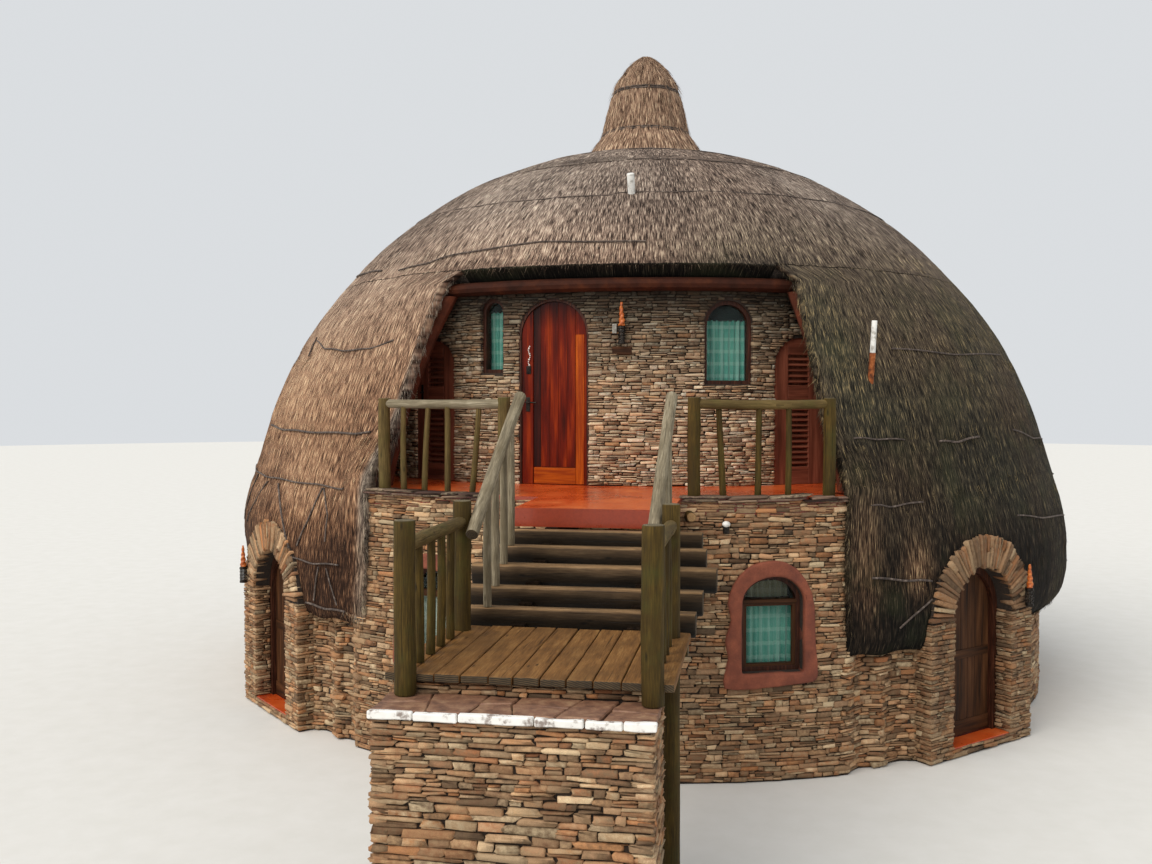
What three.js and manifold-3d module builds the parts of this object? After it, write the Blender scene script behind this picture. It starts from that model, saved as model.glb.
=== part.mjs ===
// A two-storey round stone lodge house under one thatched dome.
// A log stair climbs from an entry step over a timber landing to a veranda cut into the thatch.
// Millimetres. +Z is up, the front faces -Y, and the origin is the dome's centre at the lowest ground.
// An azimuth is an angle in degrees around +Z, zero at the front and positive towards +X.

import * as THREE from 'three';
import { mergeVertices } from 'three/addons/utils/BufferGeometryUtils.js';
import Module from 'manifold-3d';

const wasm = await Module();
wasm.setup();

// Gap between pieces that touch
const SEAT = 0.3;

// The same gap as an angle, where two walls or gores meet
const JOINT = 0.004;

// Overlap of solids that are joined into one
const WELD = 1;

// Angle of one facet of every round wall
const FACET = 5;

// Storeys
const GROUND_SLAB = 100;
const WALL_TOP = 2757;
const FLOOR = 2930;
const UPPER_WALL_TOP = 5300;

// Lower wall: the ring under the thatch and the bay that stands forward of it
const RING_OUTER = 5650;
const RING_INNER = 5250;
const BAY_OUTER = 5950;
const BAY_INNER = 5550;
const BAY_SIDE = 27;
const BAY_SPLIT = 3;
const BAY_RETURN = 3;
const FLOOR_RADIUS = 5560;

// Fluted stone face between the bay and each door: azimuths and radii of its ridges and hollows
const FLUTES = [
  [26, 5945], [27, 5940], [28, 5850], [29.2, 5795], [30.3, 5815], [31.3, 5870], [32.2, 5810],
  [33.4, 5775], [34.8, 5785], [36, 5850], [38, 5850],
];

// Upper wall
const UPPER_OUTER = 4400;
const UPPER_INNER = 4120;
const UPPER_FRONT = 50;

// Thatched dome: radius of the outer face at rising heights, and the coat's thickness
const DOME_PROFILE = [
  [6050, 1200], [6033, 1600], [5952, 2400], [5719, 3200], [5457, 4000], [5064, 4800],
  [4453, 5600], [3745, 6300], [2881, 6900], [1988, 7300], [1098, 7550],
];
const DOME_TOP = 7620;
const KNOT_SEAT_RADIUS = 700;
const THATCH = 300;
const DOME_STEPS = 16;
const DOME_FACET = 5;

// Lower edge of the thatch around the house
const EAVE_FRONT_LEFT = 1450;
const EAVE_FRONT_RIGHT = 1290;
const EAVE_SIDE_LEFT = 1640;
const EAVE_SIDE_RIGHT = 1330;
const EAVE_BACK = 1465;
const SIDE_GORE = 110;

// Rounding of the coat's lower edge: heights above the eave, and how far the outer face draws in there
const EAVE_ROUND = [[-50, 240], [0, 240], [60, 170], [150, 110], [400, 40], [820, -5]];
const FRONT_ROUND = 0.45;

// Opening in the thatch in front of the veranda, as half widths about its own centre line
const OPENING_CENTRE = 90;
const OPENING_AT_EAVE = 2790;
const OPENING_AT_FLOOR = 2590;
const OPENING_AT_TOP = 2060;
const OPENING_TOP = 5480;
const OPENING_CORNER = 220;
const OPENING_CORNER_SLOPE = 66;
const OPENING_BOTTOM = 900;

// Underside of the coat over the opening: radii and heights, from the upper wall's face out to the brow
const BROW_SLOPE = [[4400, 5300], [4400, 5330], [4560, 5480], [4720, 5630]];

// Reach of the shapes that carve the coat, inwards and outwards of it
const CARVE_INNER = 3000;
const CARVE_OUTER = 7000;

// Topknot
const KNOT_PROFILE = [[800, 7760], [640, 8040], [560, 8360], [470, 8700], [270, 8980], [60, 9190]];
const KNOT_TIP = 9200;

// Ground doors in their stone bays
const DOOR_AZIMUTH = 45;
const DOOR_HALF = 550;
const DOOR_SPRING = 1520;
const DOOR_BAY_HALF = 900;
const DOOR_BAY_FRONT = 5980;
const DOOR_BAY_KEY = 150;
const PASSAGE_HALF = 560;
const PASSAGE_TOP = 2040;
const FRAME_WIDTH = 55;
const FRAME_STOP = 80;
const FRAME_BACK = 5690;
const FRAME_DEPTH = 110;
const LEAF_GAP = 7;
const LEAF_THICK = 50;
const STOP_GAP = 5;
const HINGE_RADIUS = 14;
const HINGE_HEIGHT = 70;
const HINGE_LEVELS = [450, 1440];
const HINGE_AXIS_SIDE = 491.5;
const HINGE_AXIS_BACK = 5670;
const STRAP_THICK = 16;
const STRAP_LENGTH = 60;

// Ground windows, as seen from the front
const LOW_WINDOW_LEFT = { azimuth: -16.8, half: 325, sill: 1130, spring: 1850, rise: 270 };
const LOW_WINDOW_RIGHT = { azimuth: 18.7, half: 325, sill: 1130, spring: 1850, rise: 270 };
const LOW_SASH_FRONT = 5860;
const PLASTER_WIDTH = 115;
const PLASTER_BELOW = 190;
const PLASTER_PROUD = 40;
const HOLE_RUN_PAST = 250;

// Upper doors and windows
const MAIN_DOOR_AZIMUTH = -8.2;
const MAIN_DOOR_HALF = 435;
const MAIN_DOOR_SPRING = 4680;
const LOUVRE_AZIMUTH = 30.5;
const LOUVRE_HALF = 350;
const LOUVRE_SPRING = 4310;
const UPPER_WINDOW_LEFT = { azimuth: -18.6, half: 165, sill: 4250, spring: 4975, rise: 165 };
const UPPER_WINDOW_RIGHT = { azimuth: 18.6, half: 290, sill: 4110, spring: 4790, rise: 290 };
const UPPER_SASH_FRONT = 4350;
const UPPER_DOOR_INSET = 20;
const MAIN_FRAME_WIDTH = 30;
const MAIN_FRAME_DEPTH = 140;
const SASH_WIDTH = 45;
const SASH_DEPTH = 70;
const GLASS = 6;

// Plastered frame of the veranda opening
const LINTEL_BOTTOM = 5179;
const LINTEL_HEIGHT = 150;
const LINTEL_REACH = 180;
const LINTEL_SECTION = [[0, 0], [110, 0], [165, 30], [180, 75], [165, 120], [110, 150], [0, 150]];
const LINTEL_LEFT = -27;
const LINTEL_RIGHT = 29;
const LEG_RADIUS = 90;
const LEG_CLEAR = 96;
const LEG_OFF_WALL = 4;
const LEG_BOW = 1.5;
const LEG_STEPS = 8;
const LEG_RUN_PAST = 60;
const LEG_FOOT_LEFT = -2560;
const LEG_TOP_LEFT = -1930;
const LEG_FOOT_RIGHT = 2700;
const LEG_TOP_RIGHT = 2140;

// Stair head, log treads and their carriage logs
const HEAD_LEFT = -480;
const HEAD_RIGHT = 980;
const HEAD_FRONT = -7080;
const TREADS = [
  { top: 2757, left: -690, right: 1280, thick: 110 },
  { top: 2650, left: -640, right: 1330, thick: 115 },
  { top: 2528, left: -660, right: 1430, thick: 130 },
  { top: 2385, left: -650, right: 1330, thick: 115 },
  { top: 2262, left: -620, right: 1290, thick: 110 },
];
const FIRST_TREAD_FRONT = -7440;
const GOING = 280;
const TREAD_DEPTH = 275;

// Section of a tread, as shares of its depth and thickness
const TREAD_SECTION = [
  [0.1, 0], [0.9, 0], [1, 0.3], [1, 0.9], [0.96, 1], [0.04, 1], [0, 0.85], [0, 0.35],
];

// Place of a baluster on its tread, as a share of the tread's depth
const BALUSTER_ON_TREAD = 0.4;
const CARRIAGE_LEFT = -170;
const CARRIAGE_RIGHT = 760;
const CARRIAGE_WIDTH = 110;
const CARRIAGE_UNDERSIDE = 2440;
const CARRIAGE_FOOT = 1990;

// Landing
const DECK_TOP = 2140;
const DECK_THICK = 55;
const DECK_LEFT = -660;
const DECK_RIGHT = 1260;
const DECK_FRONT = -10150;
const DECK_BACK = -8590;
const POST_LEFT = -510;
const POST_RIGHT = 1120;
const POST_FRONT = -10160;
const POST_BACK = -8760;
const POST_RADIUS = 72;
const POST_TOP = 3150;
const BEARER_DEPTH = 120;
const BEARER_BACK = -8530;

// Entry step and its stone abutment
const STEP_LEFT = -640;
const STEP_RIGHT = 1180;
const STEP_FRONT = -10530;
const STEP_BACK = -10080;
const STEP_TOP = 2000;
const STEP_THICK = 50;
const STEP_NOSE = 40;
const ABUTMENT_BACK = -9950;

// Log rails
const RAIL_RADIUS = 50;
const BALUSTER_RADIUS = 33;
const LANDING_RAIL_HEIGHT = 2985;
const LANDING_BALUSTERS = [-9850, -9600, -9350, -9100];
const STAIR_RAIL_TOP = [-7250, 3940];
const STAIR_RAIL_FOOT = [-8890, 2930];
const STAIR_RAIL_INSET = 123;
const VERANDA_RAIL_HEIGHT = 3890;
const NEWEL_RADIUS = 65;
const NEWEL_ABOVE_RAIL = 70;
const NEWEL_LEFT = [-900, -5700];
const END_POST_LEFT = [-2330, -5390];
const FEET_LEFT = [-1270, -1560, -1840, -2090];
const NEWEL_RIGHT = [1110, -5790];
const END_POST_RIGHT = [2480, -5330];
const FEET_RIGHT = [1400, 1750, 2060];

// Wall lanterns
const LANTERN_RADIUS = 45;
const LANTERN_HEIGHT = 420;
const LANTERN_REACH = 85;
const LANTERN_TIP = 12;
const LANTERN_ARM = { half: 12, below: 20, above: 10 };
const LANTERN_PLATE = { half: 35, below: 70, above: 60, thick: 14 };
const VERANDA_LANTERN_HEIGHT = 4780;
const DOOR_LANTERN_ACROSS = 770;
const DOOR_LANTERN_HEIGHT = 1770;

// Sides of the round and log-shaped pieces
const LOG_SIDES = 10;
const THIN_LOG_SIDES = 8;
const ARCH_STEPS = 8;

const house = new THREE.Group();

const COLOURS = {
  ledge_stone: 0x9a7558,
  brick_red_concrete: 0xa8432a,
  terracotta_plaster: 0x8c3b28,
  mahogany: 0x7a2417,
  dark_frame: 0x3a1b14,
  glass: 0x5f8c80,
  thatch: 0x6d5848,
  topknot: 0x8a6f62,
  log: 0x6b5f3f,
  pale_log: 0x8f8d80,
  deck: 0x4b3524,
  grey_metal: 0x8c8c88,
  iron: 0x241f1c,
};

function finish(colour, roughness = 0.85, metalness = 0) {
  return new THREE.MeshStandardMaterial({ color: COLOURS[colour], roughness, metalness });
}

function radians(degrees) {
  return THREE.MathUtils.degToRad(degrees);
}

function radiansToDegrees(angle) {
  return THREE.MathUtils.radToDeg(angle);
}

// Solids: joining and cutting closed meshes

function solidOf(geometry) {
  const bare = geometry.clone();
  bare.deleteAttribute('normal');
  bare.deleteAttribute('uv');
  const welded = mergeVertices(bare, 1e-3);
  return new wasm.Manifold(new wasm.Mesh({
    numProp: 3,
    vertProperties: Float32Array.from(welded.attributes.position.array),
    triVerts: Uint32Array.from(welded.index.array),
  }));
}

function geometryOf(solid) {
  const mesh = solid.getMesh();
  const geometry = new THREE.BufferGeometry();
  geometry.setAttribute('position', new THREE.BufferAttribute(mesh.vertProperties, 3));
  geometry.setIndex(new THREE.BufferAttribute(mesh.triVerts, 1));
  return geometry;
}

function join(first, ...others) {
  return geometryOf(others.reduce((sum, other) => sum.add(solidOf(other)), solidOf(first)));
}

function cut(body, ...tools) {
  return geometryOf(tools.reduce((rest, tool) => rest.subtract(solidOf(tool)), solidOf(body)));
}

function common(first, second) {
  return geometryOf(solidOf(first).intersect(solidOf(second)));
}

function place(name, geometry, material, parent = house) {
  const mesh = new THREE.Mesh(geometry, material);
  mesh.name = name;
  parent.add(mesh);
  return mesh;
}

// A group turned so that what is modelled facing the front faces the given azimuth
function facing(azimuth) {
  const group = new THREE.Group();
  group.rotation.z = radians(azimuth);
  house.add(group);
  return group;
}

function turned(geometry, azimuth) {
  return geometry.clone().rotateZ(radians(azimuth));
}

// Round walls: every arc follows the same many-sided plan, so neighbours meet face to face

function planPoint(radius, azimuth) {
  const within = ((azimuth % FACET) + FACET) % FACET;
  const onFacet = radius * Math.cos(radians(FACET / 2)) / Math.cos(radians(within - FACET / 2));
  return new THREE.Vector2(onFacet * Math.sin(radians(azimuth)), -onFacet * Math.cos(radians(azimuth)));
}

function arc(radius, from, to) {
  const points = [planPoint(radius, from)];
  for (let azimuth = (Math.floor(from / FACET) + 1) * FACET; azimuth < to; azimuth += FACET) {
    points.push(planPoint(radius, azimuth));
  }
  points.push(planPoint(radius, to));
  return points;
}

function slab(outline, bottom, top) {
  const shape = new THREE.Shape(outline);
  const geometry = new THREE.ExtrudeGeometry(shape, { depth: top - bottom, bevelEnabled: false });
  return geometry.translate(0, 0, bottom);
}

function ringSector(inner, outer, from, to, bottom, top) {
  return slab([...arc(outer, from, to), ...arc(inner, from, to).reverse()], bottom, top);
}

function disc(radius, bottom, top) {
  return slab(arc(radius, 0, 360 - FACET), bottom, top);
}

function box(x0, x1, y0, y1, z0, z1) {
  const geometry = new THREE.BoxGeometry(x1 - x0, y1 - y0, z1 - z0);
  return geometry.translate((x0 + x1) / 2, (y0 + y1) / 2, (z0 + z1) / 2);
}

// Upright outlines in the plane that faces the front, extruded from one depth back to another

function uprightPrism(shape, front, back) {
  const geometry = new THREE.ExtrudeGeometry(shape, {
    depth: back - front,
    bevelEnabled: false,
    curveSegments: ARCH_STEPS,
  });
  return geometry.rotateX(Math.PI / 2).translate(0, back, 0);
}

function archShape(half, bottom, spring, rise = half) {
  const shape = new THREE.Shape();
  shape.moveTo(-half, bottom);
  shape.lineTo(half, bottom);
  shape.lineTo(half, spring);
  shape.absellipse(0, spring, half, rise, 0, Math.PI, false, 0);
  shape.lineTo(-half, bottom);
  return shape;
}

function archPrism(half, bottom, spring, front, back, rise = half) {
  return uprightPrism(archShape(half, bottom, spring, rise), front, back);
}

// Logs between two points

function log(from, to, radius, sides = LOG_SIDES, endRadius = radius) {
  const start = new THREE.Vector3(...from);
  const end = new THREE.Vector3(...to);
  const axis = end.clone().sub(start);
  const geometry = new THREE.CylinderGeometry(endRadius, radius, axis.length(), sides);
  geometry.translate(0, axis.length() / 2, 0);
  const turn = new THREE.Quaternion().setFromUnitVectors(new THREE.Vector3(0, 1, 0), axis.normalize());
  return geometry.applyQuaternion(turn).translate(...from);
}

function upright(x, y, bottom, top, radius, sides = LOG_SIDES) {
  return log([x, y, bottom], [x, y, top], radius, sides);
}

// Dome: its outer face is one smooth curve, and the inner face lies a coat's thickness inside it

function domeCurve() {
  return new THREE.SplineCurve(DOME_PROFILE.map(([radius, height]) => new THREE.Vector2(radius, height)));
}

function domeFaces() {
  const curve = domeCurve();
  const outer = [];
  const inner = [];
  for (let step = 0; step <= DOME_STEPS; step += 1) {
    const at = step / DOME_STEPS;
    const point = curve.getPoint(at);
    const along = curve.getTangent(at);
    outer.push(point);
    inner.push(new THREE.Vector2(point.x - along.y * THATCH, point.y + along.x * THATCH));
  }
  return { outer, inner };
}

function radiusAt(face, height) {
  const above = Math.max(face.findIndex((point) => point.y > height), 1);
  const low = face[above - 1];
  const high = face[above];
  return THREE.MathUtils.lerp(low.x, high.x, (height - low.y) / (high.y - low.y));
}

function innerRadiusAt(height) {
  return radiusAt(domeFaces().inner, height);
}

function lathe(points) {
  return new THREE.LatheGeometry(points, 360 / DOME_FACET).rotateX(Math.PI / 2);
}

function closedLathe(points) {
  const profile = points.map(([radius, height]) => new THREE.Vector2(radius, height));
  profile.push(profile[0].clone());
  return lathe(profile);
}

function domeShell() {
  const { outer, inner } = domeFaces();
  const profile = [
    ...outer,
    new THREE.Vector2(KNOT_SEAT_RADIUS, DOME_TOP),
    new THREE.Vector2(0, DOME_TOP),
    new THREE.Vector2(0, DOME_TOP - THATCH),
    ...inner.reverse(),
  ];
  profile.push(profile[0].clone());
  return lathe(profile);
}

// Opening of the veranda through the thatch

function openingShape() {
  const left = (half) => OPENING_CENTRE - half;
  const right = (half) => OPENING_CENTRE + half;
  const cornerHalf = OPENING_AT_TOP + OPENING_CORNER_SLOPE;
  const shape = new THREE.Shape();
  shape.moveTo(left(OPENING_AT_EAVE), OPENING_BOTTOM);
  shape.lineTo(right(OPENING_AT_EAVE), OPENING_BOTTOM);
  shape.lineTo(right(OPENING_AT_EAVE), EAVE_FRONT_LEFT);
  shape.lineTo(right(OPENING_AT_FLOOR), FLOOR);
  shape.lineTo(right(cornerHalf), OPENING_TOP - OPENING_CORNER);
  shape.quadraticCurveTo(
    right(OPENING_AT_TOP), OPENING_TOP,
    right(OPENING_AT_TOP - OPENING_CORNER), OPENING_TOP,
  );
  shape.lineTo(left(OPENING_AT_TOP - OPENING_CORNER), OPENING_TOP);
  shape.quadraticCurveTo(
    left(OPENING_AT_TOP), OPENING_TOP,
    left(cornerHalf), OPENING_TOP - OPENING_CORNER,
  );
  shape.lineTo(left(OPENING_AT_FLOOR), FLOOR);
  shape.lineTo(left(OPENING_AT_EAVE), EAVE_FRONT_LEFT);
  return shape;
}

function openingCarver() {
  const through = uprightPrism(openingShape(), -CARVE_OUTER, -CARVE_INNER);
  const last = BROW_SLOPE[BROW_SLOPE.length - 1];
  const overhead = closedLathe([[0, UPPER_WALL_TOP], ...BROW_SLOPE, [0, last[1]]]);
  return cut(through, overhead);
}

// What rounds the coat's lower edge, as a share of the full rounding
function eaveCarver(eave, share) {
  const { outer } = domeFaces();
  const face = EAVE_ROUND.map(
    ([above, inset]) => [radiusAt(outer, eave + above) - share * inset, eave + above],
  );
  const [bottom, top] = [face[0][1], face[face.length - 1][1]];
  return closedLathe([[CARVE_OUTER, bottom], [CARVE_OUTER, top], ...face.reverse()]);
}

// The coat is laid in gores around the house, which lean on the floor's rim and the upper wall
function buildThatch() {
  const thatch = () => finish('thatch', 1);
  const shell = domeShell();
  const hood = archPrism(DOOR_BAY_HALF + SEAT, 0, DOOR_SPRING, -CARVE_OUTER, -RING_OUTER + DOOR_BAY_KEY);
  const opening = openingCarver();
  const lintel = lintelGeometry(SEAT);
  const carvers = [
    opening,
    disc(UPPER_OUTER + SEAT, FLOOR, UPPER_WALL_TOP),
    disc(FLOOR_RADIUS + SEAT, WALL_TOP - SEAT, FLOOR + SEAT),
    disc(RING_OUTER + SEAT, 0, WALL_TOP),
    ringSector(BAY_INNER, BAY_OUTER + SEAT, -BAY_SIDE - JOINT, BAY_SIDE + JOINT, 0, FLOOR + SEAT),
    turned(hood, DOOR_AZIMUTH),
    turned(hood, -DOOR_AZIMUTH),
    lintel,
    legGeometry(LEG_FOOT_LEFT, LEG_TOP_LEFT, LEG_RADIUS + 2 * SEAT),
    legGeometry(LEG_FOOT_RIGHT, LEG_TOP_RIGHT, LEG_RADIUS + 2 * SEAT),
  ];
  const gore = (from, to, eave, share = 1) => {
    const [start, end] = [from + JOINT / 2, to - JOINT / 2];
    const wedge = ringSector(CARVE_INNER, CARVE_OUTER, start, end, eave, UPPER_WALL_TOP - SEAT);
    return cut(common(shell, wedge), eaveCarver(eave, share), ...carvers);
  };
  place('thatch_front_left', gore(-DOOR_AZIMUTH, 0, EAVE_FRONT_LEFT, FRONT_ROUND), thatch());
  place('thatch_front_right', gore(0, DOOR_AZIMUTH, EAVE_FRONT_RIGHT, FRONT_ROUND), thatch());
  place('thatch_side_left', gore(-SIDE_GORE, -DOOR_AZIMUTH, EAVE_SIDE_LEFT), thatch());
  place('thatch_side_right', gore(DOOR_AZIMUTH, SIDE_GORE, EAVE_SIDE_RIGHT), thatch());
  place('thatch_back', gore(SIDE_GORE, 360 - SIDE_GORE, EAVE_BACK), thatch());
  const cap = disc(CARVE_OUTER, UPPER_WALL_TOP, DOME_TOP + WELD);
  place('thatch_crown', cut(common(shell, cap), opening, lintel), thatch());

  const knot = KNOT_PROFILE.map(([radius, height]) => new THREE.Vector2(radius, height));
  const profile = [
    new THREE.Vector2(0, DOME_TOP + SEAT),
    new THREE.Vector2(KNOT_SEAT_RADIUS, DOME_TOP + SEAT),
    ...knot,
    new THREE.Vector2(0, KNOT_TIP),
  ];
  place('thatch_topknot', lathe(profile), finish('topknot', 1));
}

// Stairs: log treads on two sawn carriages, between the veranda's stair head and the landing

function treadFront(index) {
  return FIRST_TREAD_FRONT - index * GOING;
}

// Points are pairs of depth and height, extruded across the stair
function sidePrism(points, left, right) {
  const outline = new THREE.Shape(points.map(([depth, height]) => new THREE.Vector2(depth, height)));
  const geometry = new THREE.ExtrudeGeometry(outline, { depth: right - left, bevelEnabled: false });
  const basis = new THREE.Matrix4().makeBasis(
    new THREE.Vector3(0, 1, 0), new THREE.Vector3(0, 0, 1), new THREE.Vector3(1, 0, 0),
  );
  return geometry.applyMatrix4(basis).translate(left, 0, 0);
}

function buildTreads() {
  TREADS.forEach(({ top, left, right, thick }, index) => {
    const front = treadFront(index);
    const section = TREAD_SECTION.map(
      ([depth, height]) => [front + depth * TREAD_DEPTH, top - thick + height * thick],
    );
    place(`stair_tread_${index + 1}`, sidePrism(section, left, right), finish('deck', 0.7));
  });
}

function buildCarriages() {
  const saw = [[-BAY_INNER, WALL_TOP - SEAT]];
  TREADS.forEach(({ top, thick }, index) => {
    const seat = top - thick - SEAT;
    const back = treadFront(index) + TREAD_DEPTH + (GOING - TREAD_DEPTH) / 2;
    saw.push([back, saw[saw.length - 1][1]]);
    saw.push([back, seat]);
  });
  const deckUnderside = DECK_TOP - DECK_THICK;
  saw.push([DECK_BACK + SEAT, saw[saw.length - 1][1]]);
  saw.push([DECK_BACK + SEAT, deckUnderside]);
  saw.push([BEARER_BACK + SEAT, deckUnderside]);
  saw.push([BEARER_BACK + SEAT, CARRIAGE_FOOT]);
  saw.push([treadFront(0), CARRIAGE_UNDERSIDE]);
  saw.push([-BAY_INNER, CARRIAGE_UNDERSIDE]);
  const bay = disc(BAY_OUTER + SEAT, 0, FLOOR);
  const carriage = (left) => cut(sidePrism(saw, left, left + CARRIAGE_WIDTH), bay);
  place('stair_carriage_left', carriage(CARRIAGE_LEFT), finish('log'));
  place('stair_carriage_right', carriage(CARRIAGE_RIGHT), finish('log'));
}

function buildStairRails() {
  const [topDepth, topHeight] = STAIR_RAIL_TOP;
  const [footDepth, footHeight] = STAIR_RAIL_FOOT;
  const heightAt = (depth) => THREE.MathUtils.mapLinear(depth, footDepth, topDepth, footHeight, topHeight);
  const rail = (across) => {
    const balusters = TREADS.slice(1).map(({ top }, index) => {
      const depth = treadFront(index + 1) + BALUSTER_ON_TREAD * TREAD_DEPTH;
      return upright(across, depth, top + SEAT, heightAt(depth), BALUSTER_RADIUS, THIN_LOG_SIDES);
    });
    const hand = log([across, footDepth, footHeight], [across, topDepth, topHeight], RAIL_RADIUS);
    return join(hand, ...balusters);
  };
  place('stair_rail_left', rail(POST_LEFT + STAIR_RAIL_INSET), finish('pale_log'));
  place('stair_rail_right', rail(POST_RIGHT - STAIR_RAIL_INSET), finish('pale_log'));
}

// Landing: a plank deck on a bearer and the abutment, between two log rails

function buildLanding() {
  const underside = DECK_TOP - DECK_THICK;
  const posts = [POST_LEFT, POST_RIGHT].flatMap((across) => [POST_FRONT, POST_BACK].map(
    (depth) => upright(across, depth, 0, POST_TOP, POST_RADIUS + 2 * SEAT),
  ));
  const planks = box(DECK_LEFT, DECK_RIGHT, DECK_FRONT, DECK_BACK, underside, DECK_TOP);
  place('landing_deck', cut(planks, ...posts), finish('deck', 0.6));

  const bearerTop = underside - SEAT;
  const bearerFront = POST_BACK + POST_RADIUS + SEAT;
  const bearerBottom = bearerTop - BEARER_DEPTH;
  const bearer = box(DECK_LEFT, DECK_RIGHT, bearerFront, BEARER_BACK, bearerBottom, bearerTop);
  place('landing_bearer', bearer, finish('log'));

  const side = (across) => join(
    upright(across, POST_FRONT, STEP_TOP + SEAT, POST_TOP, POST_RADIUS),
    upright(across, POST_BACK, 0, POST_TOP, POST_RADIUS),
    log([across, POST_FRONT, LANDING_RAIL_HEIGHT], [across, POST_BACK, LANDING_RAIL_HEIGHT], RAIL_RADIUS),
    ...LANDING_BALUSTERS.map((depth) => upright(
      across, depth, DECK_TOP + SEAT, LANDING_RAIL_HEIGHT, BALUSTER_RADIUS, THIN_LOG_SIDES,
    )),
  );
  place('landing_rail_left', side(POST_LEFT), finish('log'));
  place('landing_rail_right', side(POST_RIGHT), finish('log'));
}

// Entry: a stone step with a painted nose on a stone abutment that runs down to the ground

function buildEntry() {
  const slabBottom = STEP_TOP - STEP_THICK;
  const step = box(STEP_LEFT, STEP_RIGHT, STEP_FRONT, STEP_BACK - SEAT, slabBottom, STEP_TOP);
  place('entry_step', step, finish('ledge_stone', 0.9));

  const left = STEP_LEFT + STEP_NOSE;
  const right = STEP_RIGHT - STEP_NOSE;
  const pier = box(left, right, STEP_FRONT + STEP_NOSE, ABUTMENT_BACK, 0, slabBottom - SEAT);
  const riserTop = DECK_TOP - DECK_THICK - SEAT;
  const riser = box(left, right, STEP_BACK, ABUTMENT_BACK, slabBottom - WELD, riserTop);
  place('entry_abutment', join(pier, riser), finish('ledge_stone', 0.95));
}

// Veranda: log balustrades on the edge of the bay, and the plastered frame of the opening

function balustrade(newel, end, feet) {
  const [newelAcross, newelDepth] = newel;
  const [endAcross, endDepth] = end;
  const depthAt = (across) => THREE.MathUtils.mapLinear(
    across, newelAcross, endAcross, newelDepth, endDepth,
  );
  const top = VERANDA_RAIL_HEIGHT;
  return join(
    upright(newelAcross, newelDepth, FLOOR + SEAT, top + NEWEL_ABOVE_RAIL, NEWEL_RADIUS),
    upright(endAcross, endDepth, FLOOR + SEAT, top + NEWEL_ABOVE_RAIL, NEWEL_RADIUS),
    log([newelAcross, newelDepth, top], [endAcross, endDepth, top], RAIL_RADIUS),
    ...feet.map((across) => upright(
      across, depthAt(across), FLOOR + SEAT, top, BALUSTER_RADIUS, THIN_LOG_SIDES,
    )),
  );
}

function legGeometry(footAcross, topAcross, radius) {
  const top = LINTEL_BOTTOM - SEAT;
  const overshoot = UPPER_OUTER + LEG_OFF_WALL + LEG_RADIUS - innerRadiusAt(top + LEG_RUN_PAST);
  const points = [];
  for (let step = 0; step <= LEG_STEPS; step += 1) {
    const rise = step / LEG_STEPS;
    const height = THREE.MathUtils.lerp(FLOOR - LEG_RUN_PAST, top + LEG_RUN_PAST, rise);
    const ring = innerRadiusAt(height) + THREE.MathUtils.lerp(-LEG_CLEAR, overshoot, rise * rise);
    const across = THREE.MathUtils.lerp(footAcross, topAcross, rise ** LEG_BOW);
    points.push(new THREE.Vector3(across, -Math.sqrt(ring * ring - across * across), height));
  }
  const section = new THREE.Shape();
  for (let side = 0; side < THIN_LOG_SIDES; side += 1) {
    const angle = 2 * Math.PI * (side + 0.5) / THIN_LOG_SIDES;
    const corner = [radius * Math.cos(angle), radius * Math.sin(angle)];
    if (side === 0) {
      section.moveTo(...corner);
    } else {
      section.lineTo(...corner);
    }
  }
  section.closePath();
  const path = new THREE.CatmullRomCurve3(points);
  const geometry = new THREE.ExtrudeGeometry(section, {
    extrudePath: path,
    steps: LEG_STEPS,
    bevelEnabled: false,
  });
  return common(geometry, disc(CARVE_OUTER, FLOOR + SEAT, top));
}

// A rounded beam of plaster along the upper wall, grown by a clearance where it carves the coat
function lintelGeometry(clearance) {
  const inner = UPPER_OUTER + SEAT;
  const end = radiansToDegrees(clearance / inner);
  const beam = closedLathe(LINTEL_SECTION.map(([reach, height]) => [
    inner + reach + clearance * Math.sign(reach - LINTEL_REACH / 2),
    LINTEL_BOTTOM + height + clearance * Math.sign(height - LINTEL_HEIGHT / 2),
  ]));
  const length = ringSector(
    CARVE_INNER, CARVE_OUTER, LINTEL_LEFT - end, LINTEL_RIGHT + end, FLOOR, OPENING_TOP,
  );
  return common(beam, length);
}

function buildVeranda() {
  place('veranda_rail_left', balustrade(NEWEL_LEFT, END_POST_LEFT, FEET_LEFT), finish('log'));
  place('veranda_rail_right', balustrade(NEWEL_RIGHT, END_POST_RIGHT, FEET_RIGHT), finish('log'));
  const plaster = () => finish('terracotta_plaster');
  const leftLeg = legGeometry(LEG_FOOT_LEFT, LEG_TOP_LEFT, LEG_RADIUS);
  const rightLeg = legGeometry(LEG_FOOT_RIGHT, LEG_TOP_RIGHT, LEG_RADIUS);
  place('veranda_lintel', lintelGeometry(0), plaster());
  place('veranda_leg_left', leftLeg, plaster());
  place('veranda_leg_right', rightLeg, plaster());
}

// Lower storey: a stone ring, a bay in front of it, and a stone bay around each ground door

function windowHole({ azimuth, half, sill, spring, rise }, radius) {
  const front = -radius - HOLE_RUN_PAST;
  const back = -radius + 2 * HOLE_RUN_PAST;
  return turned(archPrism(half, sill, spring, front, back, rise), azimuth);
}

function doorBayBlock(azimuth, clearance) {
  const half = DOOR_BAY_HALF + clearance;
  return turned(box(-half, half, -DOOR_BAY_FRONT, -UPPER_INNER, -WELD, WALL_TOP), azimuth);
}

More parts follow.
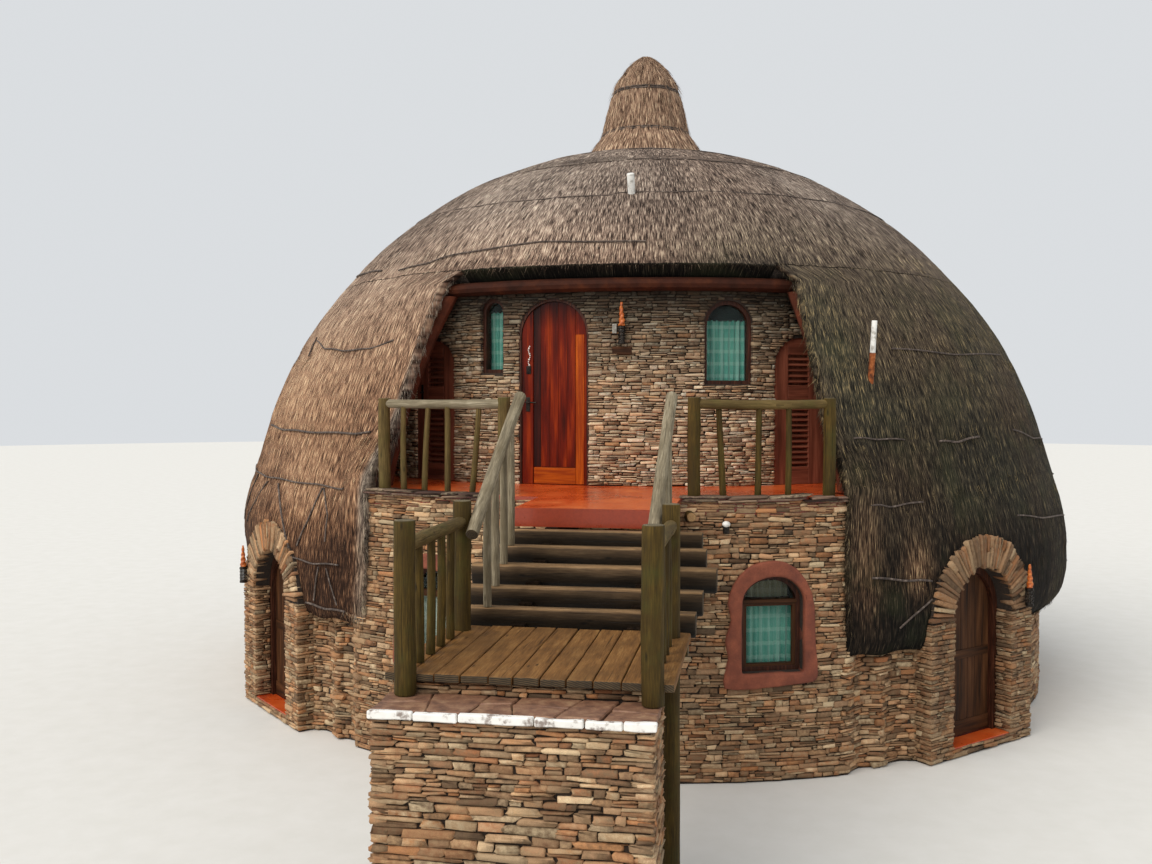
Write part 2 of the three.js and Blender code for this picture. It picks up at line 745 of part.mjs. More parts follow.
// Fluted face on one side of the house, under the thatch: side is -1 on the left and 1 on the right
function flutedFace(side, top) {
  const point = ([azimuth, radius]) => {
    const angle = radians(side * azimuth);
    return new THREE.Vector2(radius * Math.sin(angle), -radius * Math.cos(angle));
  };
  const [first, last] = [FLUTES[0][0], FLUTES[FLUTES.length - 1][0]];
  const core = [last, (first + last) / 2, first]
    .map((azimuth) => point([azimuth, RING_OUTER - DOOR_BAY_KEY]));
  const outline = [...FLUTES.map(point), ...core];
  return slab(side < 0 ? outline.reverse() : outline, 0, top);
}

function ringWall(from, to) {
  return ringSector(RING_INNER, RING_OUTER, from, to, 0, WALL_TOP - SEAT);
}

function buildLowerWalls() {
  const stone = () => finish('ledge_stone', 0.95);
  const leftBlock = doorBayBlock(-DOOR_AZIMUTH, SEAT);
  const rightBlock = doorBayBlock(DOOR_AZIMUTH, SEAT);
  const bay = (from, to) => ringSector(BAY_INNER, BAY_OUTER, from, to, 0, WALL_TOP - SEAT);
  const bayReturn = (from, to) => ringSector(RING_INNER, BAY_INNER + WELD, from, to, 0, WALL_TOP - SEAT);
  const left = join(
    bay(-BAY_SIDE, BAY_SPLIT - JOINT),
    bayReturn(-BAY_SIDE, BAY_RETURN - BAY_SIDE),
    ringWall(-DOOR_AZIMUTH, BAY_RETURN - BAY_SIDE),
    flutedFace(-1, EAVE_FRONT_LEFT - SEAT),
  );
  const right = join(
    bay(BAY_SPLIT, BAY_SIDE),
    bayReturn(BAY_SIDE - BAY_RETURN, BAY_SIDE),
    ringWall(BAY_SIDE - BAY_RETURN, DOOR_AZIMUTH),
    flutedFace(1, EAVE_FRONT_RIGHT - SEAT),
  );
  place('bay_wall_left', cut(left, windowHole(LOW_WINDOW_LEFT, BAY_OUTER), leftBlock), stone());
  place('bay_wall_right', cut(right, windowHole(LOW_WINDOW_RIGHT, BAY_OUTER), rightBlock), stone());
  place('lower_wall_back_right', cut(ringWall(DOOR_AZIMUTH, 180 - JOINT), rightBlock), stone());
  place('lower_wall_back_left', cut(ringWall(180, 360 - DOOR_AZIMUTH), leftBlock), stone());

  const core = common(ringWall(-3 * FACET, 3 * FACET), doorBayBlock(0, 0));
  const arch = archPrism(DOOR_BAY_HALF, 0, DOOR_SPRING, -DOOR_BAY_FRONT, -RING_OUTER + DOOR_BAY_KEY);
  const doorway = archPrism(DOOR_HALF, GROUND_SLAB, DOOR_SPRING, -DOOR_BAY_FRONT - WELD, -FRAME_BACK);
  const passage = box(-PASSAGE_HALF, PASSAGE_HALF, -FRAME_BACK, -UPPER_INNER, GROUND_SLAB, PASSAGE_TOP);
  const doorBay = cut(join(core, arch), doorway, passage);
  place('door_bay_left', doorBay, stone(), facing(-DOOR_AZIMUTH));
  place('door_bay_right', doorBay.clone(), stone(), facing(DOOR_AZIMUTH));
}

function buildFloors() {
  const alcove = BAY_SIDE - BAY_RETURN - JOINT;
  const ground = join(
    disc(RING_INNER - SEAT, 0, GROUND_SLAB),
    ringSector(UPPER_INNER, BAY_INNER - SEAT, -alcove, alcove, 0, GROUND_SLAB),
  );
  place('ground_floor', ground, finish('brick_red_concrete', 0.5));
  const upper = join(
    disc(FLOOR_RADIUS, WALL_TOP, FLOOR),
    ringSector(UPPER_INNER, BAY_OUTER, -BAY_SIDE, BAY_SIDE, WALL_TOP, FLOOR),
    box(HEAD_LEFT, HEAD_RIGHT, HEAD_FRONT, -UPPER_OUTER, WALL_TOP, FLOOR),
  );
  place('upper_floor', upper, finish('brick_red_concrete', 0.35));
}

// Ground doors: a stone arch holds a frame, and the leaf opens inwards on two hinges

function strapBox(side, near, far, bottom, top) {
  const [left, right] = [side * near, side * far].sort((a, b) => a - b);
  const front = -FRAME_BACK - WELD;
  return box(left, right, front, front + STRAP_THICK, bottom, top);
}

function buildGroundDoor(name, azimuth, side) {
  const group = facing(azimuth);
  const clear = DOOR_HALF - FRAME_WIDTH;
  const frameFront = -FRAME_BACK - FRAME_DEPTH;
  const stopBack = -FRAME_BACK - LEAF_THICK - STOP_GAP;
  const axis = side * HINGE_AXIS_SIDE;
  const knuckle = (bottom) => upright(
    axis, -HINGE_AXIS_BACK, bottom, bottom + HINGE_HEIGHT - SEAT, HINGE_RADIUS, THIN_LOG_SIDES,
  );
  const outer = archPrism(DOOR_HALF - SEAT, GROUND_SLAB + SEAT, DOOR_SPRING, frameFront, -FRAME_BACK);
  const leafSpace = archPrism(clear, 0, DOOR_SPRING, stopBack, -FRAME_BACK + WELD);
  const stopHalf = DOOR_HALF - FRAME_STOP;
  const stopSpace = archPrism(stopHalf, 0, DOOR_SPRING, frameFront - WELD, stopBack + WELD);
  const frameHinges = HINGE_LEVELS.flatMap((level) => {
    const bottom = level - HINGE_HEIGHT;
    const strap = strapBox(side, clear + LEAF_GAP, clear + FRAME_WIDTH - WELD, bottom, level - SEAT);
    return [knuckle(bottom), strap];
  });
  const frame = join(cut(outer, leafSpace, stopSpace), ...frameHinges);
  place(`${name}_frame`, frame, finish('mahogany'), group);

  const leafHalf = clear - LEAF_GAP;
  const leafFront = -FRAME_BACK - LEAF_THICK;
  const leaf = archPrism(leafHalf, GROUND_SLAB + LEAF_GAP, DOOR_SPRING, leafFront, -FRAME_BACK);
  const leafHinges = HINGE_LEVELS.flatMap((level) => {
    const top = level + HINGE_HEIGHT - SEAT;
    return [knuckle(level), strapBox(side, leafHalf - STRAP_LENGTH, leafHalf, level, top)];
  });
  place(`${name}_leaf`, join(leaf, ...leafHinges), finish('mahogany', 0.6), group);
}

function buildLantern(name, azimuth, across, wall, middle) {
  const back = -wall - SEAT;
  const depth = back - LANTERN_REACH;
  const half = LANTERN_HEIGHT / 2;
  const fitting = ({ half: side, below, above }, front) => box(
    across - side, across + side, front, back, middle - below, middle + above,
  );
  const cage = upright(across, depth, middle - half, middle, LANTERN_RADIUS, THIN_LOG_SIDES);
  const [foot, tip] = [[across, depth, middle - WELD], [across, depth, middle + half]];
  const horn = log(foot, tip, LANTERN_RADIUS, THIN_LOG_SIDES, LANTERN_TIP);
  const arm = fitting(LANTERN_ARM, depth);
  const plate = fitting(LANTERN_PLATE, back - LANTERN_PLATE.thick);
  place(name, join(cage, horn, arm, plate), finish('iron', 0.6), facing(azimuth));
}

// Upper storey: a round wall with an arched door, two louvred doors and two windows at the veranda

function upperDoorHole(azimuth, half, spring) {
  return windowHole({ azimuth, half, sill: FLOOR - WELD, spring, rise: half }, UPPER_OUTER);
}

function buildUpperWalls() {
  const stone = () => finish('ledge_stone', 0.95);
  const wall = (from, to) => ringSector(
    UPPER_INNER, UPPER_OUTER, from, to, FLOOR + SEAT, UPPER_WALL_TOP - SEAT,
  );
  const mainDoor = upperDoorHole(MAIN_DOOR_AZIMUTH, MAIN_DOOR_HALF, MAIN_DOOR_SPRING);
  const louvreLeft = upperDoorHole(-LOUVRE_AZIMUTH, LOUVRE_HALF, LOUVRE_SPRING);
  const louvreRight = upperDoorHole(LOUVRE_AZIMUTH, LOUVRE_HALF, LOUVRE_SPRING);
  const windowLeft = windowHole(UPPER_WINDOW_LEFT, UPPER_OUTER);
  const windowRight = windowHole(UPPER_WINDOW_RIGHT, UPPER_OUTER);
  const left = wall(-UPPER_FRONT, MAIN_DOOR_AZIMUTH - JOINT);
  const right = wall(MAIN_DOOR_AZIMUTH, UPPER_FRONT - JOINT);
  place('upper_wall_front_left', cut(left, mainDoor, louvreLeft, windowLeft), stone());
  place('upper_wall_front_right', cut(right, mainDoor, louvreRight, windowRight), stone());
  place('upper_wall_back_right', wall(UPPER_FRONT, 180 - JOINT), stone());
  place('upper_wall_back_left', wall(180, 360 - UPPER_FRONT - JOINT), stone());
}

function buildUpperDoors() {
  const mainDoor = facing(MAIN_DOOR_AZIMUTH);
  const frameFront = -UPPER_OUTER + UPPER_DOOR_INSET;
  const frameBack = frameFront + MAIN_FRAME_DEPTH;
  const bottom = FLOOR + SEAT;
  const outer = archPrism(MAIN_DOOR_HALF - SEAT, bottom, MAIN_DOOR_SPRING, frameFront, frameBack);
  const clear = MAIN_DOOR_HALF - MAIN_FRAME_WIDTH;
  const inner = archPrism(clear, FLOOR - WELD, MAIN_DOOR_SPRING, frameFront - WELD, frameBack + WELD);
  place('main_door_frame', cut(outer, inner), finish('dark_frame', 0.6), mainDoor);
  const leafFront = frameFront + UPPER_DOOR_INSET;
  const leaf = archPrism(clear - SEAT, bottom, MAIN_DOOR_SPRING, leafFront, leafFront + LEAF_THICK);
  place('main_door_leaf', leaf, finish('mahogany', 0.3), mainDoor);

  const louvre = () => archPrism(
    LOUVRE_HALF - SEAT, bottom, LOUVRE_SPRING, frameFront, frameFront + SASH_DEPTH,
  );
  place('louvred_door_left', louvre(), finish('dark_frame', 0.6), facing(-LOUVRE_AZIMUTH));
  place('louvred_door_right', louvre(), finish('dark_frame', 0.6), facing(LOUVRE_AZIMUTH));
}

// A window is a wooden sash fitted in its hole, with one sheet of glass behind it
function buildWindow(name, { azimuth, half, sill, spring, rise }, sashFront) {
  const group = facing(azimuth);
  const sashBack = sashFront + SASH_DEPTH;
  const outer = archPrism(half - SEAT, sill + SEAT, spring, sashFront, sashBack, rise - SEAT);
  const daylight = archPrism(
    half - SASH_WIDTH, sill + SASH_WIDTH, spring, sashFront - WELD, sashBack + WELD, rise - SASH_WIDTH,
  );
  place(`${name}_sash`, cut(outer, daylight), finish('dark_frame', 0.6), group);
  const rebate = SASH_WIDTH / 2;
  const pane = archPrism(
    half - rebate, sill + rebate, spring, sashBack + SEAT, sashBack + SEAT + GLASS, rise - rebate,
  );
  place(`${name}_glass`, pane, finish('glass', 0.1), group);
}

function buildPlasterSurround(name, hole) {
  const { azimuth, half, sill, spring, rise } = hole;
  const front = -BAY_OUTER - HOLE_RUN_PAST;
  const outline = archPrism(
    half + PLASTER_WIDTH, sill - PLASTER_BELOW, spring, front, -BAY_INNER, rise + PLASTER_WIDTH,
  );
  const skin = ringSector(
    BAY_OUTER + SEAT, BAY_OUTER + PLASTER_PROUD, azimuth - 2 * FACET, azimuth + 2 * FACET, 0, FLOOR,
  );
  const surround = cut(common(skin, turned(outline, azimuth)), windowHole(hole, BAY_OUTER));
  place(name, surround, finish('terracotta_plaster'));
}

buildFloors();
buildLowerWalls();
buildGroundDoor('left_door', -DOOR_AZIMUTH, -1);
buildGroundDoor('right_door', DOOR_AZIMUTH, 1);
buildWindow('ground_window_left', LOW_WINDOW_LEFT, -LOW_SASH_FRONT);
buildWindow('ground_window_right', LOW_WINDOW_RIGHT, -LOW_SASH_FRONT);
buildPlasterSurround('window_surround_left', LOW_WINDOW_LEFT);
buildPlasterSurround('window_surround_right', LOW_WINDOW_RIGHT);
buildUpperWalls();
buildUpperDoors();
buildWindow('upper_window_left', UPPER_WINDOW_LEFT, -UPPER_SASH_FRONT);
buildWindow('upper_window_right', UPPER_WINDOW_RIGHT, -UPPER_SASH_FRONT);
buildVeranda();
buildThatch();
buildTreads();
buildCarriages();
buildStairRails();
buildLanding();
buildEntry();

const facetFace = UPPER_OUTER * Math.cos(radians(FACET / 2));
buildLantern('veranda_lantern', FACET / 2, 0, facetFace, VERANDA_LANTERN_HEIGHT);
[['left_door_lantern', -1], ['right_door_lantern', 1]].forEach(([name, side]) => {
  const across = side * DOOR_LANTERN_ACROSS;
  buildLantern(name, side * DOOR_AZIMUTH, across, DOOR_BAY_FRONT, DOOR_LANTERN_HEIGHT);
});

export default house;
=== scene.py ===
# %% [markdown]
# # A round stone lodge house under a thatched dome
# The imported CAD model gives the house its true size, walls, openings and moving doors. This lesson dresses it:
# thousands of ledge stones, a thatched coat, logs with knots, hand-worked plaster and polished red floors.
# Everything is in metres in the frame of the CAD model. The front faces -Y, and angles around the house are
# azimuths in degrees, zero at the front and positive towards +X.

# %% Load the CAD frame
import math

import bmesh
import bpy
import numpy as np
from mathutils import Matrix, Vector, noise


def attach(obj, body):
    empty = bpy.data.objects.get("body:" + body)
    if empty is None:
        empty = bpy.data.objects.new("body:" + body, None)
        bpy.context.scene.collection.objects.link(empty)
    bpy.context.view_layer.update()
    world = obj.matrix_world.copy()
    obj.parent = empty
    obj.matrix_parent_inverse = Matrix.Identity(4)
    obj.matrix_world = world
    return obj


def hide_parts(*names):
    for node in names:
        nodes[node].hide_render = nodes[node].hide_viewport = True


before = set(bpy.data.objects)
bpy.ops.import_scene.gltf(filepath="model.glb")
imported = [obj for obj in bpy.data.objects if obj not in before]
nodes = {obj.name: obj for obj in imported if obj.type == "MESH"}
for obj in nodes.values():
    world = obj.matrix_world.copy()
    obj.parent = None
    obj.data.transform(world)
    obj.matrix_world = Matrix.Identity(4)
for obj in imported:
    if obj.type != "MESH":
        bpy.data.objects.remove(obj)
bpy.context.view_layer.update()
ops = bmesh.ops

# Azimuths of the ground doors, the veranda's door and service doors, and the windows
GROUND_DOOR, MAIN_DOOR, SERVICE_DOOR = 45, -8.2, 30.5
GROUND_WINDOWS, UPPER_WINDOW = {"left": -16.8, "right": 18.7}, 18.6

# %% [markdown]
# ## Camera, floor and light
# The camera stands where the picture was taken from, on the raised ground before the entry step. It was found
# from the building's own vanishing lines. The light is that of a bright overcast day: a white sky, and a very
# soft sun from the front left. The floor, one wide pale disc, is laid at the end.

# %% Camera
PITCH_DOWN, HEADING = 1.72, 9.6
SENSOR_MM, FOCAL_PX, PICTURE_PX = 36, 1100, 1152
scene = bpy.context.scene
camera = bpy.data.objects.new("camera", bpy.data.cameras.new("camera"))
camera.location = (1.79, -17.04, 3.94)
camera.rotation_euler = (math.radians(90 - PITCH_DOWN), 0, math.radians(HEADING))
camera.data.sensor_width = SENSOR_MM
camera.data.lens = SENSOR_MM * FOCAL_PX / PICTURE_PX
camera.data.clip_end = 300
scene.collection.objects.link(camera)
scene.camera = camera

# %% Sky and sun
SKY_STRENGTH, SUN_STRENGTH, SUN_SPREAD = 0.75, 2.4, 50
sky = bpy.data.worlds.new("overcast_sky")
sky.use_nodes = True
background = sky.node_tree.nodes["Background"].inputs
background["Color"].default_value = (0.94, 0.97, 1, 1)
background["Strength"].default_value = SKY_STRENGTH
scene.world = sky
sun = bpy.data.objects.new("sun", bpy.data.lights.new("sun", "SUN"))
sun.data.energy = SUN_STRENGTH
sun.data.angle = math.radians(SUN_SPREAD)
sun.data.color = (1, 0.96, 0.9)
sun.rotation_euler = Vector((-0.5, -0.75, 0.85)).to_track_quat("Z", "Y").to_euler()
scene.collection.objects.link(sun)
scene.view_settings.view_transform = "Standard"

# %% [markdown]
# ## Finishes
# Every finish is a small node graph on the Principled shader. The Finish class below keeps such a graph short to
# write: each method adds one node or two and returns the output. Patterns read Object coordinates, or a map or
# an attribute that the piece carries, so they stay on the piece when the camera or a door moves.

# %% The Finish helper
def paint(code):
    """A display colour such as 9a7558 as the linear colour that a shader uses."""
    shares = [int(code[at:at + 2], 16) / 255 for at in (0, 2, 4)]
    return (*[s / 12.92 if s <= 0.04045 else ((s + 0.055) / 1.055) ** 2.4 for s in shares], 1)


class Finish:
    """A material and the nodes that lead to its shader."""

    def __init__(self, name, roughness=0.9, **sockets):
        self.material = bpy.data.materials.new(name)
        self.material.use_nodes = True
        self.tree = self.material.node_tree
        self.shader = self.tree.nodes["Principled BSDF"]
        self.fill(self.shader, Roughness=roughness, **sockets)
        self.place = self.add("TexCoord").outputs["Object"]

    def feed(self, socket, value):
        if isinstance(value, bpy.types.NodeSocket):
            self.tree.links.new(value, socket)
        else:
            socket.default_value = paint(value) if isinstance(value, str) else value

    def fill(self, node, **inputs):
        for name, value in inputs.items():
            self.feed(node.inputs[name.replace("_", " ")], value)
        return node

    def add(self, kind, **inputs):
        return self.fill(self.tree.nodes.new("ShaderNode" + kind), **inputs)

    def stretched(self, scales, source=None):
        return self.add("Mapping", Vector=source or self.place, Scale=scales).outputs["Vector"]

    def noise(self, scale, detail=4, stretch=None, source=None, roughness=0.6):
        source = self.stretched(stretch, source) if stretch else self.place
        return self.add("TexNoise", Vector=source, Scale=scale, Detail=detail, Roughness=roughness).outputs["Fac"]

    def cells(self, scale, source=None):
        return self.add("TexVoronoi", Vector=source or self.place, Scale=scale).outputs["Distance"]

    def ramp(self, share, *stops):
        node = self.add("ValToRGB", Fac=share)
        while len(node.color_ramp.elements) < len(stops):
            node.color_ramp.elements.new(0.5)
        for element, (at, colour) in zip(node.color_ramp.elements, stops):
            element.position = at
            element.color = paint(colour) if isinstance(colour, str) else (colour, colour, colour, 1)
        return node.outputs["Color"]

    def mix(self, share, first, second, blend="MIX"):
        node = self.tree.nodes.new("ShaderNodeMix")
        node.data_type = "RGBA"
        node.blend_type = blend
        for index, value in ((0, share), (6, first), (7, second)):
            self.feed(node.inputs[index], value)
        return node.outputs[2]

    def shaded(self, colour, share, *stops):
        return self.mix(1.0, colour, self.ramp(share, *stops) if stops else share, "MULTIPLY")

    def scaled(self, value, by, plus=0.0):
        node = self.tree.nodes.new("ShaderNodeMath")
        node.operation = "MULTIPLY_ADD"
        for socket, share in zip(node.inputs, (value, by, plus)):
            self.feed(socket, share)
        return node.outputs[0]

    def upward(self, source):
        """The Z share of a place or a normal."""
        return self.add("SeparateXYZ", Vector=source).outputs["Z"]

    def normal(self):
        return self.add("NewGeometry").outputs["Normal"]

    def carried(self, name):
        """The three shares of an attribute that the piece carries."""
        colour = self.add("Attribute")
        colour.attribute_name = name
        split = self.add("SeparateColor", Color=colour.outputs["Color"])
        return [split.outputs[index] for index in range(3)]

    def map(self, name):
        node = self.add("UVMap")
        node.uv_map = name
        return node.outputs["UV"]

    def bump(self, height, distance, strength=1.0):
        node = self.add("Bump", Height=height, Distance=distance, Strength=strength)
        if self.shader.inputs["Normal"].is_linked:
            self.tree.links.new(self.shader.inputs["Normal"].links[0].from_socket, node.inputs["Normal"])
        self.fill(self.shader, Normal=node.outputs["Normal"])

    def done(self, colour, **sockets):
        self.fill(self.shader, Base_Color=colour, **sockets)
        return self.material


def streaked(name, roughness, pattern, relief, *stops, **sockets):
    """A finish whose one noise gives both its colour and its relief."""
    finish = Finish(name, roughness, **sockets)
    share = finish.noise(*pattern)
    if relief:
        finish.bump(share, *relief)
    return finish.done(finish.ramp(share, *stops))


def refinish(finish, *words):
    """Gives a finish to the CAD nodes whose names have one of the words in them."""
    for name in nodes:
        if any(word in name for word in words):
            for place in nodes[name].material_slots:
                place.material = finish


# %% [markdown]
# ## Pieces
# A piece is one mesh whose object sits at the origin. `show` adds it to the scene and makes it ride on the house
# or on a door. `lay_many` is for the small things that a builder lays by the thousand: a few base shapes are
# modelled once, and placed copies of them are joined into one mesh. Each copy keeps three random shares, its
# tint, which the finish turns into its own colour.

# %% Helpers for pieces
def mesh_from(name, bm, smooth=False):
    ops.recalc_face_normals(bm, faces=bm.faces)
    mesh = bpy.data.meshes.new(name)
    bm.to_mesh(mesh)
    bm.free()
    if smooth:
        mesh.shade_smooth()
    return mesh


def show(name, shape, *finishes, slot, body="house", stands_for=(), smooth=False):
    mesh = shape if isinstance(shape, bpy.types.Mesh) else mesh_from(name, shape, smooth)
    piece = bpy.data.objects.new(name, mesh)
    scene.collection.objects.link(piece)
    for finish in finishes:
        mesh.materials.append(finish)
    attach(piece, body)
    if stands_for:
        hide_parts(*stands_for)
    return piece


def shape_of(bm):
    """The points, the corners of all faces and the size of each face of a small base shape."""
    ops.recalc_face_normals(bm, faces=bm.faces)
    bm.verts.index_update()
    points = np.array([vertex.co for vertex in bm.verts])
    corners = np.array([vertex.index for face in bm.faces for vertex in face.verts])
    sizes = np.array([len(face.verts) for face in bm.faces])
    bm.free()
    return points, corners, sizes


def give_tint(mesh, shades):
    tint = mesh.attributes.new("tint", "FLOAT_COLOR", "POINT")
    tint.data.foreach_set("color", np.c_[shades, np.ones(len(shades))].astype(np.float32).ravel())


def lay_many(name, shapes, places, kinds, tints):
    """One mesh of placed copies: places holds a 3 by 4 matrix for each copy."""
    parts, first = [], 0
    for kind, (shape, around, counts) in enumerate(shapes):
        chosen = np.nonzero(kinds == kind)[0]
        placed = np.einsum("nij,mj->nmi", places[chosen, :, :3], shape) + places[chosen, None, :, 3]
        offsets = first + len(shape) * np.arange(len(chosen))[:, None]
        parts.append((
            placed.reshape(-1, 3), (around[None] + offsets).ravel(), np.tile(counts, len(chosen)),
            np.repeat(tints[chosen], len(shape), 0),
        ))
        first += len(shape) * len(chosen)
    points, corners, sizes, shades = (np.concatenate(part) for part in zip(*parts))
    mesh = bpy.data.meshes.new(name)
    mesh.vertices.add(len(points))
    mesh.vertices.foreach_set("co", points.astype(np.float32).ravel())
    mesh.loops.add(len(corners))
    mesh.loops.foreach_set("vertex_index", corners.astype(np.int32))
    mesh.polygons.add(len(sizes))
    mesh.polygons.foreach_set("loop_start", (np.cumsum(sizes) - sizes).astype(np.int32))
    mesh.update(calc_edges=True)
    give_tint(mesh, shades)
    print(name, len(places), "copies,", int((sizes - 2).sum()), "triangles")
    return mesh


def ease(share):
    share = np.clip(share, 0, 1)
    return share * share * (3 - 2 * share)


def ripple(u, v, around, seed, rows=97):
    """Smooth random heights from -1 to 1, which repeat after a whole number of steps of u."""
    table = np.random.default_rng(seed).uniform(-1, 1, (around, rows))
    i, j = np.floor(u).astype(int), np.floor(v).astype(int)
    f, g = ease(u - i), ease(v - j)
    corner = lambda a, b: table[(i + a) % around, (j + b) % rows]
    low = corner(0, 0) * (1 - f) + corner(1, 0) * f
    high = corner(0, 1) * (1 - f) + corner(1, 1) * f
    return low * (1 - g) + high * g


def turn(azimuth):
    """Turns what is modelled facing the front to an azimuth."""
    return Matrix.Rotation(math.radians(azimuth), 4, "Z")


def edges_along(bm, axis, least):
    """The edges that run further than a given length along one axis."""
    return [e for e in bm.edges if abs(e.verts[0].co[axis] - e.verts[1].co[axis]) > least]


def sharp_edges(bm, angle=1.0):
    return [e for e in bm.edges if len(e.link_faces) == 2 and e.calc_face_angle() > angle]


def soften(bm, edges, offset, segments=1):
    ops.bevel(bm, geom=edges, offset=offset, affect="EDGES", segments=segments, profile=0.5, material=-1)


# %% [markdown]
# ## Ledge stone walls
# The walls are laid dry-looking from thin flat stones with dark joints. The CAD walls stay behind as the mortar.
# A mason picks each stone by eye, so no two are alike. Fourteen rough base stones are modelled: each is a flat
# block with a few chipped corners and a face that stands forward, and its front points are moved a little.
# Courses are then laid along a path in plan, with random heights and lengths, and they stop at the openings.

# %% Base stones
# Size of a base stone, how far its back stands behind the path, and how much thinner its back is
STONE, BEHIND, TAIL = Vector((0.13, 0.1, 0.038)), 0.035, 0.8
# Offset of a chipped corner, and how far a front point moves along, outwards and up
CHIP, UNEVEN = 0.0085, (0.013, 0.007, 0.0058)
rng = np.random.default_rng(7)
# Without a seed, noise_vector would start from the clock and move differently in each run
noise.seed_set(7)


def base_stone():
    bm = bmesh.new()
    ops.create_cube(bm, size=1)
    ops.scale(bm, vec=STONE, verts=bm.verts)
    ops.translate(bm, vec=(0, BEHIND, 0), verts=bm.verts)
    corners = edges_along(bm, 1, 0.05)
    soften(bm, [corners[index] for index in rng.permutation(4)[:rng.integers(1, 4)]], CHIP)
    face = min(bm.faces, key=lambda f: f.calc_center_median().y)
    ops.inset_region(bm, faces=[face], thickness=0.005, depth=0.007, use_even_offset=True)
    for vertex in bm.verts:
        if vertex.co.y < 0.02:
            vertex.co += Vector([shift * most for shift, most in zip(Vector(rng.uniform(-1, 1, 3)), UNEVEN)])
        else:
            vertex.co.z *= TAIL
    return shape_of(bm)


base_stones = [base_stone() for _ in range(14)]
print(len(base_stones), "base stones of", len(base_stones[0][0]), "points")


# %% Paths and openings
def around_house(radius, start, end, step=2.5):
    azimuths = np.radians(np.linspace(start, end, max(2, int(abs(end - start) / step) + 1)))
    return np.c_[radius * np.sin(azimuths), -radius * np.cos(azimuths)]


def turned_path(points, azimuth):
    a = math.radians(azimuth)
    return np.array(points) @ np.array([[math.cos(a), math.sin(a)], [-math.sin(a), math.cos(a)]])


def path_lengths(path):
    return np.r_[0, np.cumsum(np.hypot(*np.diff(path, axis=0).T))]


def arched(centre, half, bottom, spring, rise):
    """A stretch of wall that an arched opening takes from the courses between two heights."""
    def taken(low, high):
        if high < bottom or low > spring + rise:
            return None
        share = max(0, low - spring) / rise
        width = half * math.sqrt(max(0, 1 - share * share))
        return (centre - width, centre + width)
    return taken


def none_above(start, end, top):
    """A stretch of wall that has no stones above a height."""
    return lambda low, high: (start, end) if high > top else None


# %% Courses along a path
def courses(length, low, high, heights, lengths, holes=()):
    """The middle, height, length and thickness of each stone in a face of wall."""
    laid, z = [], low
    while z < high - 0.012:
        thick = min(rng.uniform(*heights), high - z)
        taken = sorted(filter(None, (hole(z, z + thick) for hole in holes)))
        u = 0
        for start, end in [*taken, (length, length)]:
            while u < start - 0.015:
                run = rng.uniform(*lengths) * (0.6 if rng.random() < 0.2 else 1)
                run = start - u if start - u - run < lengths[0] * 0.5 else run
                if thick > heights[0] * 1.35 and rng.random() < 0.3:
                    share = rng.uniform(0.4, 0.6)
                    laid += [(u + run / 2, z + thick * share / 2, run, thick * share)]
                    laid += [(u + run / 2, z + thick * (1 + share) / 2, run, thick * (1 - share))]
                else:
                    laid += [(u + run / 2, z + thick / 2, run, thick)]
                u += run
            u = max(u, end)
        z += thick
    return np.array(laid)


def around_corners(path, *bands, lap=0.026):
    """Courses whose stones end at each corner of a path, and lap it a little to close it."""
    corners = path_lengths(path)[1:-1]
    cuts = [lambda low, high, at=at: (at, at) for at in corners]
    laid = np.concatenate([courses(path_lengths(path)[-1], *band, cuts) for band in bands])
    for at in corners:
        for side in (-1, 1):
            near = np.abs(laid[:, 0] - side * laid[:, 2] / 2 - at) < 0.004
            laid[near, 0] -= side * lap / 2
            laid[near, 2] += lap
    return laid


def stones_on(path, laid, gap=0.0065, proud=(-0.006, 0.012), deep=1.0):
    """A matrix for each stone, set on the path with its face outwards."""
    lengths = path_lengths(path)
    on_path = lambda at: np.c_[np.interp(at, lengths, path[:, 0]), np.interp(at, lengths, path[:, 1])]
    middle = laid[:, 0].clip(0, lengths[-1] - 1e-4)
    span = np.clip(laid[:, 2] * 0.5 - 0.03, 0.004, 0.04)
    along = on_path(middle + span) - on_path(middle - span)
    along /= np.hypot(*along.T)[:, None]
    out = np.c_[along[:, 1], -along[:, 0]]
    forward = rng.uniform(*proud, len(laid))
    tilt = rng.normal(0, 0.03, len(laid))
    size = np.c_[(laid[:, 2] - gap) / STONE.x, np.full(len(laid), deep), (laid[:, 3] - gap) / STONE.z]
    places = np.zeros((len(laid), 3, 4))
    places[:, :2, 0] = along * size[:, :1]
    places[:, 2, 0] = tilt * size[:, 0]
    places[:, :2, 1] = -out * size[:, 1:2]
    places[:, 2, 2] = size[:, 2]
    places[:, :2, 3] = on_path(middle) + out * forward[:, None]
    u, z = laid[:, 0], laid[:, 1]
    settled = 0.008 * np.sin(u * 1.7 + 2 * np.sin(z * 2.3)) + 0.006 * np.sin(u * 7.3 - z * 11)
    places[:, 2, 3] = z + np.where(z > 0.08, settled, 0) + rng.normal(0, 0.0015, len(laid))
    return places


def build_wall(name, places, finish, light=1.0):
    places = np.concatenate(places)
    kinds = rng.integers(0, len(base_stones), len(places))
    tints = rng.random((len(places), 3)) * (1, light, 1)
    return show(name, lay_many(name, base_stones, places, kinds, tints), finish, slot="ledge_stone")


# %% [markdown]
# The stones run from grey brown through tan to rust and cream. Each takes its own place on that scale from its
# tint and is mottled by noise. The dark between them is the mortar behind, which shows in the open joints.

# %% Stone finishes
def painted_brow_shade(finish, colour, *stops):
    """Painted shade: the top of the veranda is darkened where the brow keeps the light off. Shares run from 2.9 m
    to 5.4 m.
    """
    return finish.shaded(colour, finish.scaled(finish.upward(finish.place), 0.4, -1.16), *stops)


